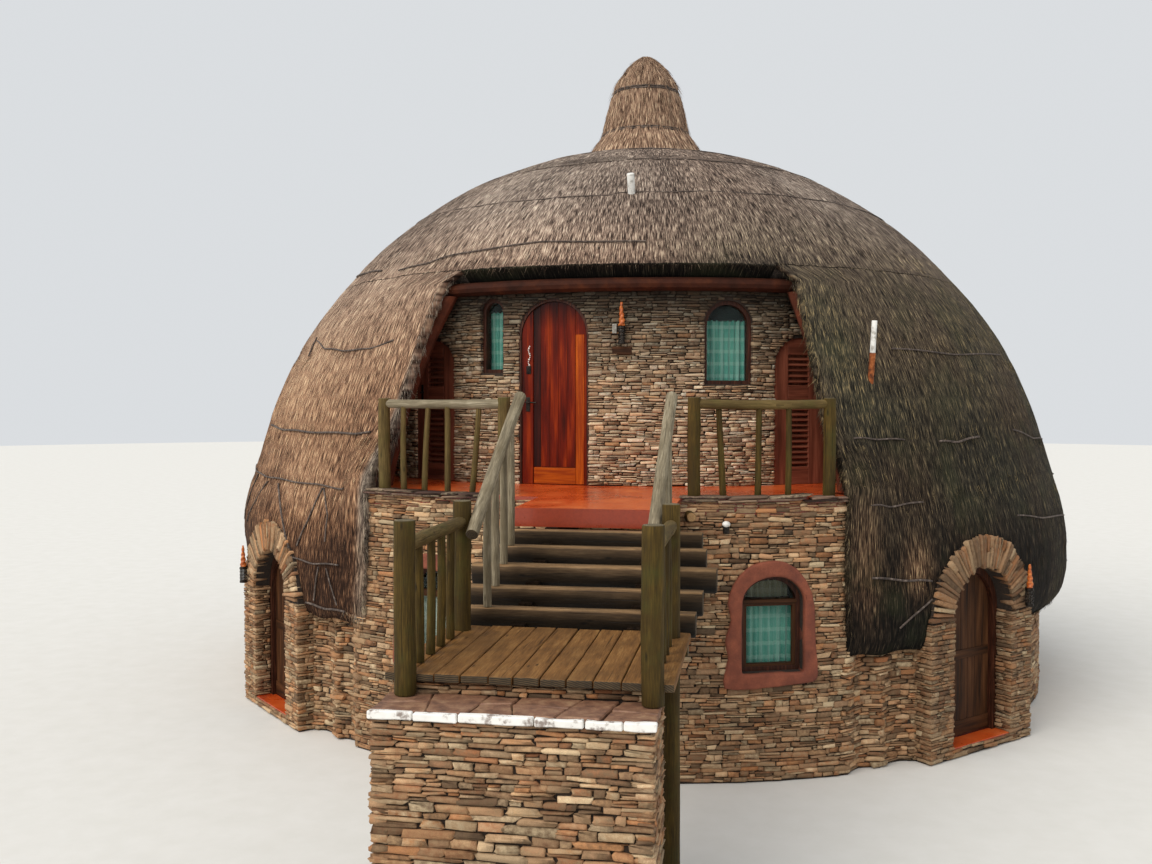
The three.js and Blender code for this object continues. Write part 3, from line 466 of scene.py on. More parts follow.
def stone_finish(name, *palette, rust, brow_shade_stops=()):
    finish = Finish(name, 0.85, Specular_IOR_Level=0.3)
    hue, light, stain = finish.carried("tint")
    mottle, fine = finish.noise(26, 6), finish.noise(140, 5, (1, 1, 2.5))
    stained = finish.ramp(stain, (0, "5f4c3c"), (0.5, rust), (1, "ead4ac"))
    colour = finish.mix(finish.ramp(mottle, (0.35, 0.0), (0.7, 0.8)), finish.ramp(hue, *palette), stained)
    colour = finish.shaded(colour, light, (0, 0.55), (1, 1.0))
    colour = finish.shaded(colour, fine, (0.25, 0.6), (0.6, 1.0))
    # Painted shade: the upper stones grow darker towards the brow.
    if brow_shade_stops:
        colour = painted_brow_shade(finish, colour, *brow_shade_stops)
    finish.bump(mottle, 0.012, 0.7)
    finish.bump(fine, 0.004, 0.8)
    return finish.done(colour)


upper_stone = stone_finish(
    "upper_ledge_stone", (0, "8d735b"), (0.2, "e6c49c"), (0.4, "c0a285"), (0.6, "f2d7b0"), (0.85, "fff2d6"),
    (1, "e2a670"), rust="e0ad7c",
    brow_shade_stops=((0.3, 1.0), (0.5, 0.8), (0.64, 0.56), (0.76, 0.36), (0.84, 0.16), (0.92, 0.07)),
)
lower_stone = stone_finish(
    "lower_ledge_stone", (0, "6a5640"), (0.2, "bd9770"), (0.4, "977c5e"), (0.6, "d9b286"), (0.78, "c78a58"),
    (0.92, "f2d8ae"), (1, "a2683f"), rust="b9754a",
)
cap_stone = stone_finish(
    "veranda_cap_stone", (0, "4a3530"), (0.4, "6c4f47"), (0.7, "86675a"), (1, "a07f6a"), rust="74503f",
)


def mortar_finish():
    """Dark mortar between the stones. The level sills inside the ground doors are painted red."""
    finish = Finish("mortar", 0.95)
    grit = finish.noise(60, 6)
    low = finish.ramp(finish.upward(finish.place), (0.15, 1.0), (0.2, 0.0))
    level = finish.ramp(finish.upward(finish.normal()), (0.9, 0.0), (0.95, 1.0))
    grey = finish.ramp(grit, (0.3, "1d1611"), (0.7, "3f3228"))
    finish.bump(grit, 0.01, 0.8)
    return finish.done(finish.mix(finish.scaled(low, level), grey, "a8431c"))


refinish(mortar_finish(), "_wall_", "door_bay", "entry_abutment")

# %% Upper wall behind the veranda
FLOOR, UPPER_R = 2.93, 4.4
SERVICE_SPRING, MAIN_SPRING = 4.31, 4.68
at_upper = lambda azimuth: math.radians(azimuth + 50) * UPPER_R
upper_openings = [arched(at_upper(azimuth), half, bottom, spring, half) for azimuth, half, bottom, spring in (
    (MAIN_DOOR, 0.43, FLOOR, MAIN_SPRING), (-SERVICE_DOOR, 0.345, FLOOR, SERVICE_SPRING),
    (SERVICE_DOOR, 0.345, FLOOR, SERVICE_SPRING), (-UPPER_WINDOW, 0.16, 4.255, 4.975),
    (UPPER_WINDOW, 0.285, 4.115, 4.79),
)]
upper_laid = courses(math.radians(100) * UPPER_R, FLOOR, 5.29, (0.026, 0.058), (0.065, 0.2), upper_openings)
build_wall("upper_wall_stones", [stones_on(around_house(UPPER_R, -50, 50), upper_laid)], upper_stone)

# %% Lower wall: the bay with the fluted faces beside it, and the ring behind
FLUTES = [
    (26, 5.945), (27, 5.94), (28, 5.85), (29.2, 5.795), (30.3, 5.815), (31.3, 5.87), (32.2, 5.81),
    (33.4, 5.775), (34.8, 5.785), (36, 5.85), (37.5, 5.86),
]
BAY_R, RING_R, FOOT = 5.945, 5.65, 0.018
flute = lambda side: [(r * math.sin(side * math.radians(a)), -r * math.cos(math.radians(a))) for a, r in FLUTES]
front_path = np.concatenate([flute(-1)[::-1], around_house(BAY_R, -25, 25), flute(1)])
front_lengths = path_lengths(front_path)
front_azimuths = np.degrees(np.arctan2(front_path[:, 0], -front_path[:, 1]))
at_bay = lambda azimuth: float(np.interp(azimuth, front_azimuths, front_lengths))
front_openings = [
    *(arched(at_bay(azimuth), 0.37, 1.0, 1.85, 0.32) for azimuth in GROUND_WINDOWS.values()),
    none_above(0, at_bay(-27), 1.47), none_above(at_bay(27), front_lengths[-1], 1.31),
    none_above(0, at_bay(-25.4), 1.5), none_above(at_bay(26.6), front_lengths[-1], 1.34),
]
front_laid = courses(front_lengths[-1], FOOT, 2.9, (0.026, 0.066), (0.07, 0.23), front_openings)
build_wall("bay_stones", [stones_on(front_path, front_laid)], lower_stone)

ring_path = around_house(RING_R, 53, 307)
ring_length = path_lengths(ring_path)[-1]
low_eave = none_above(0, ring_length * 0.77, 1.38)
ring_laid = courses(ring_length, FOOT, 1.62, (0.04, 0.084), (0.14, 0.36), [low_eave])
build_wall("ring_stones", [stones_on(ring_path, ring_laid)], lower_stone)

# %% Door bays, entry abutment and cap stones
DOOR_SPRING = 1.52
ARCH_IN, ARCH_MID, ARCH_OUT = 0.55, 0.72, 0.9


def door_bay_stones(side):
    """Coursed jambs, and voussoirs that stand on end around the arch."""
    left = [(-0.9, -5.55), (-0.9, -5.98), (-0.55, -5.98), (-0.55, -5.8)]
    right = [(-x, y) for x, y in left[::-1]]
    places = []
    for jamb in (left, right):
        path = turned_path(jamb, side * GROUND_DOOR)
        places.append(stones_on(path, around_corners(path, (FOOT, DOOR_SPRING, (0.026, 0.06), (0.07, 0.2)))))
    sill = turned_path([(-0.56, -5.985), (0.56, -5.985)], side * GROUND_DOOR)
    places.append(stones_on(sill, courses(1.12, FOOT, 0.1, (0.04, 0.055), (0.14, 0.3))))
    angle = 0.02
    while angle < math.pi - 0.02:
        width = rng.uniform(0.035, 0.07)
        middle = angle + width / 2 / ARCH_MID
        angle += width / ARCH_MID
        start = ARCH_IN
        for end in ((ARCH_OUT,) if rng.random() < 0.6 else (rng.uniform(0.68, 0.78), ARCH_OUT)):
            radial = (start + end) / 2
            size = ((end - start - 0.006) / STONE.x, 1.9, (width - 0.005) * radial / ARCH_MID / STONE.z)
            across, up = radial * math.cos(middle), DOOR_SPRING + radial * math.sin(middle)
            at = Matrix.Translation((across, -5.975 + rng.uniform(-0.012, 0.008), up))
            upright = Matrix.Rotation(-middle, 4, "Y") @ Matrix.Diagonal((*size, 1))
            places.append(np.array(turn(side * GROUND_DOOR) @ at @ upright)[None, :3])
            start = end
    return places


build_wall("left_door_bay_stones", door_bay_stones(-1), lower_stone)
# Painted shade: the right door bay's stones are made darker, for the shade that falls on them.
build_wall("right_door_bay_stones", door_bay_stones(1), lower_stone, light=0.15)


def pier(front, *bands):
    """Courses around the abutment, whose front stands at a given Y."""
    path = np.array([(-0.6, -9.95), (-0.6, front), (1.14, front), (1.14, -9.95), (-0.6, -9.95)])
    return path, around_corners(path, *bands)


piers = [
    pier(-10.49, (FOOT, 1.36, (0.042, 0.078), (0.13, 0.34)), (1.36, 1.94, (0.028, 0.062), (0.08, 0.24))),
    pier(-10.08, (2.0, 2.08, (0.03, 0.045), (0.08, 0.2))),
]
build_wall("abutment_stones", [stones_on(*part) for part in piers], lower_stone)

cap_places = []
for start, end in ((-25.2, -9.2), (9.6, 26.5)):
    path = around_house(5.94, start, end)
    cap_laid = courses(path_lengths(path)[-1], 2.885, 2.945, (0.03, 0.03), (0.2, 0.5))
    cap_places.append(stones_on(path, cap_laid, proud=(0.012, 0.03), deep=2.2))
build_wall("cap_stones", cap_places, cap_stone)

# %% [markdown]
# ## The thatched coat
# Thatch is bundles of grass laid in rings from the eave upwards, combed down the slope and held by thin poles
# and wire. A close model of every straw would be far too heavy. So a wavy skin, combed by a strand pattern,
# carries the colour, and tens of thousands of loose straws lie on it and break up its surface. The CAD gores
# stay below, and show as the cut thickness of the coat at the opening.

# %% The dome's curve
DOME_PROFILE = [
    (6.05, 1.2), (6.033, 1.6), (5.952, 2.4), (5.719, 3.2), (5.457, 4.0), (5.064, 4.8), (4.453, 5.6),
    (3.745, 6.3), (2.881, 6.9), (1.988, 7.3), (1.098, 7.55), (0.7, 7.635), (0.45, 7.66),
]
BROW_HEIGHT = 5.48


def smooth_curve(points, steps=24):
    """A curve through all the points, as arrays of radius, height and arc length."""
    points = np.array(points)
    ends = np.concatenate([points[:1], points, points[-1:]])
    t = np.linspace(0, 1, steps, endpoint=False)[:, None]
    parts = []
    for p0, p1, p2, p3 in zip(ends, ends[1:], ends[2:], ends[3:]):
        bend = (2 * p0 - 5 * p1 + 4 * p2 - p3) * t**2 + (3 * p1 - p0 - 3 * p2 + p3) * t**3
        parts.append(0.5 * (2 * p1 + (p2 - p0) * t + bend))
    curve = np.concatenate([*parts, points[-1:]])
    return curve[:, 0], curve[:, 1], path_lengths(curve)


dome_radius, dome_height, dome_arc = smooth_curve(DOME_PROFILE)
dome_slope = np.gradient(dome_radius, dome_arc), np.gradient(dome_height, dome_arc)
arc_at = lambda height: np.interp(height, dome_height, dome_arc)
height_at = lambda arc: np.interp(arc, dome_arc, dome_height)
radius_at = lambda height: np.interp(height, dome_height, dome_radius)
BROW_ARC, TOP_ARC = float(arc_at(BROW_HEIGHT)), float(dome_arc[-1])
print("dome arc", round(TOP_ARC, 2), "m, brow at", round(BROW_ARC, 2), "m")


def revolved(azimuth, radius, height):
    a = np.radians(azimuth)
    return np.stack([radius * np.sin(a), -radius * np.cos(a), height], -1)


def on_dome(azimuth, arc, lift):
    """Points at an azimuth and an arc length up the dome, lifted off its face."""
    run, rise = (np.interp(arc, dome_arc, part) for part in dome_slope)
    return revolved(azimuth, np.interp(arc, dome_arc, dome_radius) + lift * rise, height_at(arc) - lift * run)


# %% Edges of the coat
# Heights of the opening's outline, and how far its left and right edges reach along X
OPENING = np.array([
    (1.45, -2.63, 2.72), (2.93, -2.46, 2.615), (5.26, -2.036, 2.216), (5.36, -2.0, 2.18), (5.44, -1.91, 2.09),
    (5.48, -1.75, 1.93),
])
# Azimuths and levels of the plain eave, which steps down from the left side over the back to the right side
EAVE = np.array([
    (-180, 1.465), (-110, 1.465), (-98, 1.64), (-45.01, 1.64), (-45, 1.45), (0, 1.45), (0.01, 1.29), (45, 1.29),
    (45.01, 1.33), (110, 1.33), (122, 1.465), (180, 1.465),
])
HOOD = 0.91


def opening_azimuth(height, side):
    reach = np.interp(height, OPENING[:, 0], OPENING[:, 1 if side < 0 else 2])
    return np.degrees(np.arcsin(np.clip(reach / radius_at(height), -1, 1)))


RIGHT_EDGE, LEFT_EDGE = (float(opening_azimuth(BROW_HEIGHT, side)) for side in (1, -1))
brow_azimuth = lambda u: LEFT_EDGE + (RIGHT_EDGE - LEFT_EDGE) * u


def combed(column, height):
    """Columns of straw follow the edges of the opening, and straighten away from it."""
    shift = 0
    for side, edge, way in ((1, RIGHT_EDGE, column - RIGHT_EDGE), (-1, LEFT_EDGE, LEFT_EDGE + 360 - column)):
        shift = shift + (opening_azimuth(height, side) - edge) * ease(1 - way / 22)
    return column + np.where(height < BROW_HEIGHT, shift, 0)


def centred(azimuth):
    return (azimuth + 180) % 360 - 180


def plain_eave(azimuth):
    """Height of the coat's lower edge, apart from the arches over the doors."""
    return np.interp(centred(azimuth), EAVE[:, 0], EAVE[:, 1])


def eave_height(azimuth):
    """The ragged lower edge of the coat, which arches over both ground doors."""
    level = plain_eave(azimuth)
    ragged = 0.022 * ripple(azimuth / 360 * 140, azimuth * 0, 140, 3) - 0.012
    for door in (-GROUND_DOOR, GROUND_DOOR):
        across = 6.0 * np.sin(np.radians(centred(azimuth) - door)) / HOOD
        hood = DOOR_SPRING + HOOD * np.sqrt(np.clip(1 - across**2, 0, 1))
        near = (np.abs(across) < 1) & (np.abs(centred(azimuth) - door) < 90)
        level = np.where(near, np.maximum(level, hood), level)
        ragged = np.where(near, ragged * 0.4, ragged)
    return level + ragged


def drawn_in(azimuth, height):
    """How far the coat is rounded inwards near its lower edge, less so beside the opening."""
    share = np.where(np.abs(centred(azimuth)) < 45, 0.45, 1)
    above = height - plain_eave(azimuth)
    return share * np.interp(above, [0, 0.06, 0.15, 0.4, 0.77], [0.24, 0.17, 0.11, 0.04, 0])


def cushion(azimuth, height):
    """Beside the opening the coat swells, and lies over the end of the bay wall."""
    near = 0
    for side in (-1, 1):
        gap = side * (centred(azimuth) - opening_azimuth(height, side))
        near = np.maximum(near, np.where(gap > -6, ease((6.2 - gap) / 3.8), 0))
    return near * ease((3.8 - height) / 0.9) * np.clip(6.0 - radius_at(height), 0, 0.2)


# %% Relief and tone of the coat
WAISTS = [2.04, 2.91, 3.53, 4.55, 5.62, 6.45, 7.05]


def relief(azimuth, arc):
    """Lumps of the bundles, and the waists where the poles hold them down."""
    turns = azimuth / 360
    lift = 0.017 + 0.006 * ripple(turns * 560, arc / 0.45, 560, 11)
    lift = lift + 0.009 * ripple(turns * 150, arc / 0.8, 150, 12)
    lift = lift + 0.010 * ripple(turns * 34, arc / 1.3, 34, 13)
    wander = 0.05 * ripple(turns * 20, arc * 0, 20, 14)
    for height in WAISTS:
        lift = lift - 0.016 * np.exp(-(((arc - (arc_at(height) + wander)) / 0.06) ** 2))
    height = height_at(arc)
    return np.maximum(lift, 0.004) + cushion(azimuth, height) - drawn_in(azimuth, height)


def tone(azimuth, arc, share):
    """Three shares for the finish: lightness, grey weathering, and the dark side on the right, mossy and darker
    still as painted shade.
    """
    a, height = centred(azimuth), height_at(arc)
    patch = ripple(azimuth / 360 * 60, arc / 0.9, 60, 21)
    broad = ripple(azimuth / 360 * 16, arc / 2.1, 16, 22)
    soiled = ease((2.9 - height) / 1.0) * np.where(np.abs(a) < 62, 1, 0.45)
    light = 0.52 + 0.08 * patch + 0.06 * broad - 0.3 * soiled - 0.09 * ease((4.3 - height) / 1.2) + share
    over_brow = np.exp(-(((height - 5.5) / 0.09) ** 2)) * (np.abs(a) < 27)
    light = light - 0.07 * ease((height - 5.6) / 0.8) - 0.15 * over_brow
    grey = 0.12 + 0.8 * ease((height - 3.4) / 3.4) + 0.1 * broad
    wide = np.interp(height, [1.5, 2.2, 2.9, 3.5, 4.4], [1.9, 1.7, 1.1, 0.8, 0.3])
    beside = (a < 0) * (a > -60) * ease((5 - height) / 1.5)
    edge = ease(1.3 - (opening_azimuth(height, -1) - a) / wide) * beside
    light, grey = light + (0.3 * soiled + 0.06) * edge, grey + 0.85 * edge
    # Moss and painted shade: the right side turns dark, more than its moss alone, for the light that falls from the
    # left.
    right = ease((a + 3) / 28) * ease((196 - a) / 60) * (a > 0)
    dark = right * ease((7.0 - height) / 2.0) * (0.92 + 0.12 * patch) + 0.4 * edge
    gold = np.exp(-(((a - 35) / 2.2) ** 2) - ((height - 2.1) / 0.32) ** 2)
    gold = gold + 0.7 * np.exp(-(((a - 28.5) / 2.4) ** 2) - ((height - 2.1) / 0.6) ** 2)
    return np.clip(np.stack([light + 0.3 * gold, grey - 0.35 * soiled, dark - 0.45 * gold], -1), 0, 1)


# %% [markdown]
# The strands are noise stretched along the straw, in two widths: a few stems together, and tufts. Both are
# spread over the whole range from dark gap to bright straw. Warm straw shows on the left, grey weathered straw
# near the crown, and a dark, mossy side on the right, which is darkened further as painted shade.

# %% Thatch finish
def thatch_finish(name, strand_map=None):
    finish = Finish(name, 0.95, Specular_IOR_Level=0.15)
    light, grey, dark = finish.carried("tint")
    if strand_map:
        line = finish.map(strand_map)
        stems = finish.noise(1, 2, (115, 6, 1), line, roughness=0.7)
        tufts, spread = finish.noise(1, 3, (30, 3.2, 1), line), (2.3, 0.9, -1.6)
    else:
        stems, tufts, spread = finish.noise(60, 2), finish.noise(9, 3), (0.7, 0.5, -0.6)
    lit = finish.scaled(light, 1.0, spread[2])
    share = finish.scaled(stems, spread[0], finish.scaled(tufts, spread[1], lit))
    warm, pale, deep = (finish.ramp(share, *zip((0.05, 0.3, 0.5, 0.7, 0.95), codes)) for codes in (
        ("26170f", "644531", "a3795a", "cea47b", "f0d3a6"), ("241d19", "5c4f47", "978679", "c0b09f", "e2d6c4"),
        ("0a0907", "1f1c16", "39352b", "5c5340", "ab9468"),
    ))
    # The dark share takes the deep ramp: moss, and painted shade on the right and under the brow.
    colour = finish.mix(dark, finish.mix(grey, warm, pale), deep)
    moss = finish.scaled(finish.ramp(finish.noise(1.7, 5), (0.5, 0.0), (0.66, 1.0)), dark)
    finish.bump(tufts, 0.03, 0.6)
    finish.bump(stems, 0.008, 0.9)
    return finish.done(finish.mix(finish.scaled(moss, 0.2), colour, "3c4228"))


def cut_thatch_finish():
    """Packed straw seen end on and along its cut, grey and dusty, and kept dark as painted shade of the soffit
    under the brow.
    """
    finish = Finish("cut_thatch", 0.95)
    fibres = finish.noise(1, 4, (60, 60, 7))
    colour = finish.ramp(fibres, (0.25, "1d1714"), (0.5, "4c4139"), (0.75, "85786c"))
    finish.bump(fibres, 0.02, 0.8)
    return finish.done(finish.shaded(colour, finish.cells(70), (0.0, 1.0), (0.9, 0.5)))


combed_thatch, loose_thatch = thatch_finish("combed_thatch", "strands"), thatch_finish("loose_thatch")
refinish(cut_thatch_finish(), "thatch_front", "thatch_side", "thatch_back", "thatch_crown")


# %% Skins of the coat
def skin(name, columns, rows, place, shade, comb):
    """A grid mesh whose points, tones and strand map come from functions of column and row shares."""
    bm = bmesh.new()
    ops.create_grid(bm, x_segments=columns, y_segments=rows, size=0.5, calc_uvs=False)
    mesh = bpy.data.meshes.new(name)
    bm.to_mesh(mesh)
    bm.free()
    points = np.zeros(len(mesh.vertices) * 3, np.float32)
    mesh.vertices.foreach_get("co", points)
    u, v = points.reshape(-1, 3)[:, 0] + 0.5, points.reshape(-1, 3)[:, 1] + 0.5
    mesh.vertices.foreach_set("co", place(u, v).astype(np.float32).ravel())
    give_tint(mesh, shade(u, v))
    strands = mesh.uv_layers.new(name="strands")
    loops = np.zeros(len(mesh.loops), np.int32)
    mesh.loops.foreach_get("vertex_index", loops)
    strands.uv.foreach_set("vector", np.stack(comb(u, v), -1)[loops].astype(np.float32).ravel())
    mesh.update()
    mesh.shade_smooth()
    return mesh


# The coat's lower edge curls under by these shares of its thickness, and steps of arc length
LIP = np.array([(0.9, 0.0), (0.5, 0.03), (0.15, 0.035), (0.0, 0.015)])
# The cut edge beside the opening rolls in: steps towards the opening, and back from the face
ROLL = np.array([(0.0, 0.27), (0.045, 0.22), (0.062, 0.12), (0.042, 0.035)])
# Radii and heights of the brow's underside, from the soffit out to the edge
BROW_RIM = np.array([(4.42, 5.335), (4.5, 5.4), (4.575, 5.455), (4.6, 5.478), (4.6, 5.478)])
COLUMNS, ROWS = 1000, 34


def lower_coat(u, v):
    """Column, azimuth, arc length and lift. The first rows curl in under the lower edge."""
    row, line = np.round(v * ROWS), np.round(u * COLUMNS)
    share = np.clip((row - 3) / (ROWS - 3), 0, 1) ** 1.5
    column = RIGHT_EDGE + (LEFT_EDGE + 360 - RIGHT_EDGE) * np.clip((line - 4) / (COLUMNS - 8), 0, 1)
    low = arc_at(eave_height(combed(column, 1.5)))
    arc = low + (BROW_ARC - low) * share
    azimuth = combed(column, height_at(arc))
    under = LIP[np.clip(row, 0, 3).astype(int)]
    lift = relief(azimuth, arc)
    lift = lift - under[:, 0] * np.where(row < 3, 0.29 + np.minimum(lift, 0), 0)
    return column, azimuth, arc - under[:, 1], lift


def lower_points(u, v):
    points = on_dome(*lower_coat(u, v)[1:])
    line = np.round(u * COLUMNS)
    side = np.minimum(line, COLUMNS - line).astype(int)
    roll = np.where(side[:, None] < 4, ROLL[np.clip(side, 0, 3)], 0)
    points[:, 0] += roll[:, 0] * np.where(line < COLUMNS / 2, -1, 1)
    points[:, 1] += roll[:, 1]
    return points


def upper_coat(u, v):
    azimuth, arc = u * 360, BROW_ARC + (TOP_ARC - BROW_ARC) * v
    return azimuth, arc, relief(azimuth, arc)


def upper_comb(u, v):
    arc = upper_coat(u, v)[1]
    return np.radians(u * 360) * np.where(arc > 7.4, 2.2, 3.9), arc


def brow(u, v):
    row = np.round(v * 4).astype(int)
    azimuth, arc = brow_azimuth(u), np.full_like(u, BROW_ARC)
    under = revolved(azimuth, *(BROW_RIM[row] + 0.008 * ripple(u * 90, v * 3, 90, 15)[:, None]).T)
    return np.where((row == 4)[:, None], on_dome(azimuth, arc, relief(azimuth, arc)), under)


# Painted shade: the brow's underside gets a low tone and the dark share, for the shade beneath its lip.
def brow_tone(u, v):
    shades = tone(brow_azimuth(u), BROW_ARC + 0 * u, -0.4 + 0.3 * v)
    shades[:, 2] = np.where(v < 0.8, 0.95, shades[:, 2])
    return shades


for part in (
    ("thatch_lower_skin", COLUMNS, ROWS, lower_points, lambda u, v: tone(*lower_coat(u, v)[1:3], -0.09),
     lambda u, v: (np.radians(lower_coat(u, v)[0]) * 5.6, lower_coat(u, v)[2])),
    ("thatch_upper_skin", 1150, 22, lambda u, v: on_dome(*upper_coat(u, v)),
     lambda u, v: tone(*upper_coat(u, v)[:2], -0.11), upper_comb),
    ("thatch_brow_skin", 220, 4, brow, brow_tone,
     lambda u, v: (np.radians(brow_azimuth(u)) * 3.9, BROW_ARC - 0.3 * (1 - v))),
):
    show(part[0], skin(*part), combed_thatch, slot="thatch_grass")


# %% Tufts of straw
def straw(bent):
    """A stem that tapers to a point, from a cone of three sides."""
    bm = bmesh.new()
    ops.create_cone(bm, cap_ends=True, segments=3, radius1=0.5, radius2=0, depth=1)
    ops.translate(bm, vec=(0, 0, 0.5), verts=bm.verts)
    for vertex in bm.verts:
        if vertex.co.z > 0.5:
            vertex.co.x += bent
    return shape_of(bm)


straws = [straw(bent) for bent in (0, 0.9, -0.9)]


def frames(roots, down, normal, yaw, rise, length, width, thick):
    """Matrices that stand a straw on each root, pointing down the slope, turned by yaw and lifted by rise."""
    yaw, rise = yaw[:, None], rise[:, None]
    down = down / np.linalg.norm(down, axis=1)[:, None]
    normal = normal - (normal * down).sum(1)[:, None] * down
    normal = normal / np.linalg.norm(normal, axis=1)[:, None]
    down = down * np.cos(yaw) + np.cross(normal, down) * np.sin(yaw)
    side = np.cross(normal, down)
    down = down * np.cos(rise) + normal * np.sin(rise)
    normal = np.cross(down, side)
    return np.stack([side * width[:, None], normal * thick[:, None], down * length[:, None], roots], -1)


STRAW_LENGTHS, STRAW_WIDTHS, STRAW_LIFTS, STRAW_YAW = (0.07, 0.25), (0.003, 0.0105), (0.0, 0.035), math.radians(8)


def tufts(count, start, end, low, high, seed):
    """Straws spread evenly over the coat between two columns and two arc lengths. No low end is the eave."""
    lottery = np.random.default_rng(seed)
    column, arc = lottery.uniform(start, end, count * 2), lottery.uniform(0, 1, count * 2)
    bottom = arc_at(eave_height(column)) if low is None else low
    arc = bottom + 0.05 + (high - bottom - 0.02) * arc
    keep = lottery.random(count * 2) < np.interp(arc, dome_arc, dome_radius) / 6.05
    column, arc = column[keep][:count], arc[keep][:count]
    azimuth_at = lambda arcs: combed(column, height_at(arcs)) if low is None else column
    at = lambda arcs, up: on_dome(azimuth_at(arcs), arcs, relief(azimuth_at(arcs), arcs) + up)
    n = len(column)
    to_edge = arc - (arc_at(eave_height(column)) if low is None else 0)
    length = np.minimum(lottery.uniform(*STRAW_LENGTHS, n), np.maximum(to_edge + 0.01, 0.05))
    width = lottery.uniform(*STRAW_WIDTHS, n)
    matrices = frames(
        at(arc, -0.004), at(arc - length * 0.7, 0) - at(arc, 0), at(arc, 0.05) - at(arc, 0),
        lottery.normal(0, STRAW_YAW, n), lottery.uniform(*STRAW_LIFTS, n), length, width, width * 0.6,
    )
    return matrices, tone(azimuth_at(arc), arc, lottery.normal(0.05, 0.22, n))


def build_straws(name, *parts):
    places, tones = (np.concatenate(part) for part in zip(*parts))
    kinds = np.random.default_rng(9).integers(0, len(straws), len(places))
    return show(name, lay_many(name, straws, places, kinds, tones), loose_thatch, slot="thatch_grass")


build_straws("loose_straw_left", tufts(18000, 250, 360 + LEFT_EDGE, None, BROW_ARC, 31))
build_straws("loose_straw_right", tufts(18000, RIGHT_EDGE, 110, None, BROW_ARC, 32))
build_straws("loose_straw_back", tufts(10000, 110, 250, None, BROW_ARC, 33))
build_straws(
    "loose_straw_top", tufts(20000, -100, 100, BROW_ARC, TOP_ARC - 0.3, 34),
    tufts(6500, 100, 260, BROW_ARC, TOP_ARC - 0.3, 35),
)


# %% [markdown]
# Along every cut edge straws hang out of the coat: frayed ones at the brow and beside the opening, short
# ones around the doors, and a ragged fringe along the eave.

# %% Fringe of the edges
def fringe(count, azimuth_of, height_of, deep, lengths, lean, grey, seed, out=0.25, lighter=0.0, painted_shade=0.0):
    """Straws that hang out of an edge. They start at most so deep in the coat, and lean sideways."""
    lottery = np.random.default_rng(seed)
    share = lottery.random(count)
    azimuth, arc = azimuth_of(share), arc_at(height_of(share))
    depth = lottery.uniform(0, deep, count) ** 1.2
    roots = on_dome(azimuth, arc + 0.03, relief(azimuth, arc + 0.03) - depth)
    downhill = on_dome(azimuth, arc - 0.1, 0) - on_dome(azimuth, arc, 0)
    normal = on_dome(azimuth, arc, 0.1) - on_dome(azimuth, arc, 0)
    down = downhill * out + np.array([0, 0, -0.1]) * (1 - out)
    width = lottery.uniform(0.004, 0.012, count)
    places = frames(
        roots, down, normal, lottery.normal(lean, 0.28, count), lottery.uniform(-0.1, 0.2, count),
        lottery.uniform(*lengths, count), width, width * 0.6,
    )
    shades = tone(azimuth, arc, lottery.normal(lighter, 0.2, count))
    shades[:, 1] = np.clip(shades[:, 1] + grey * lottery.random(count), 0, 1)
    # Painted shade: the dark share is raised to at least this floor.
    shades[:, 2] = np.maximum(shades[:, 2], painted_shade)
    return places, shades


along_eave = lambda s: RIGHT_EDGE + 3 + (LEFT_EDGE + 354 - RIGHT_EDGE) * s
along_side = lambda s: 1.5 + 3.95 * s
# Painted shade: the brow's fringe is darkened, for the shade under the lip.
brow_fringe = fringe(
    3600, lambda s: LEFT_EDGE - 1 + (RIGHT_EDGE - LEFT_EDGE + 2) * s, lambda s: BROW_HEIGHT + 0 * s, 0.1,
    (0.04, 0.08), 0, 0.3, 41, lighter=-0.2, painted_shade=0.92,
)
side_fringes = [fringe(
    2600, lambda s, side=side: opening_azimuth(along_side(s), side), along_side, 0.2, (0.07, 0.2),
    -0.1 * side, 0.6, 42 + side, out=0.9, lighter=0.05,
) for side in (-1, 1)]
eave_fringe = fringe(
    7500, along_eave, lambda s: eave_height(along_eave(s)), 0.05, (0.03, 0.08), 0, 0.2, 45, lighter=-0.12,
)
frayed_tail = fringe(
    320, lambda s: opening_azimuth(1.5, -1) - 0.3 - 2.6 * s, lambda s: 1.475 + 0.06 * s, 0.16, (0.09, 0.17),
    0.1, 1.0, 47, out=0.1, lighter=0.3,
)
build_straws("fringe_straw", brow_fringe, *side_fringes, eave_fringe, frayed_tail)

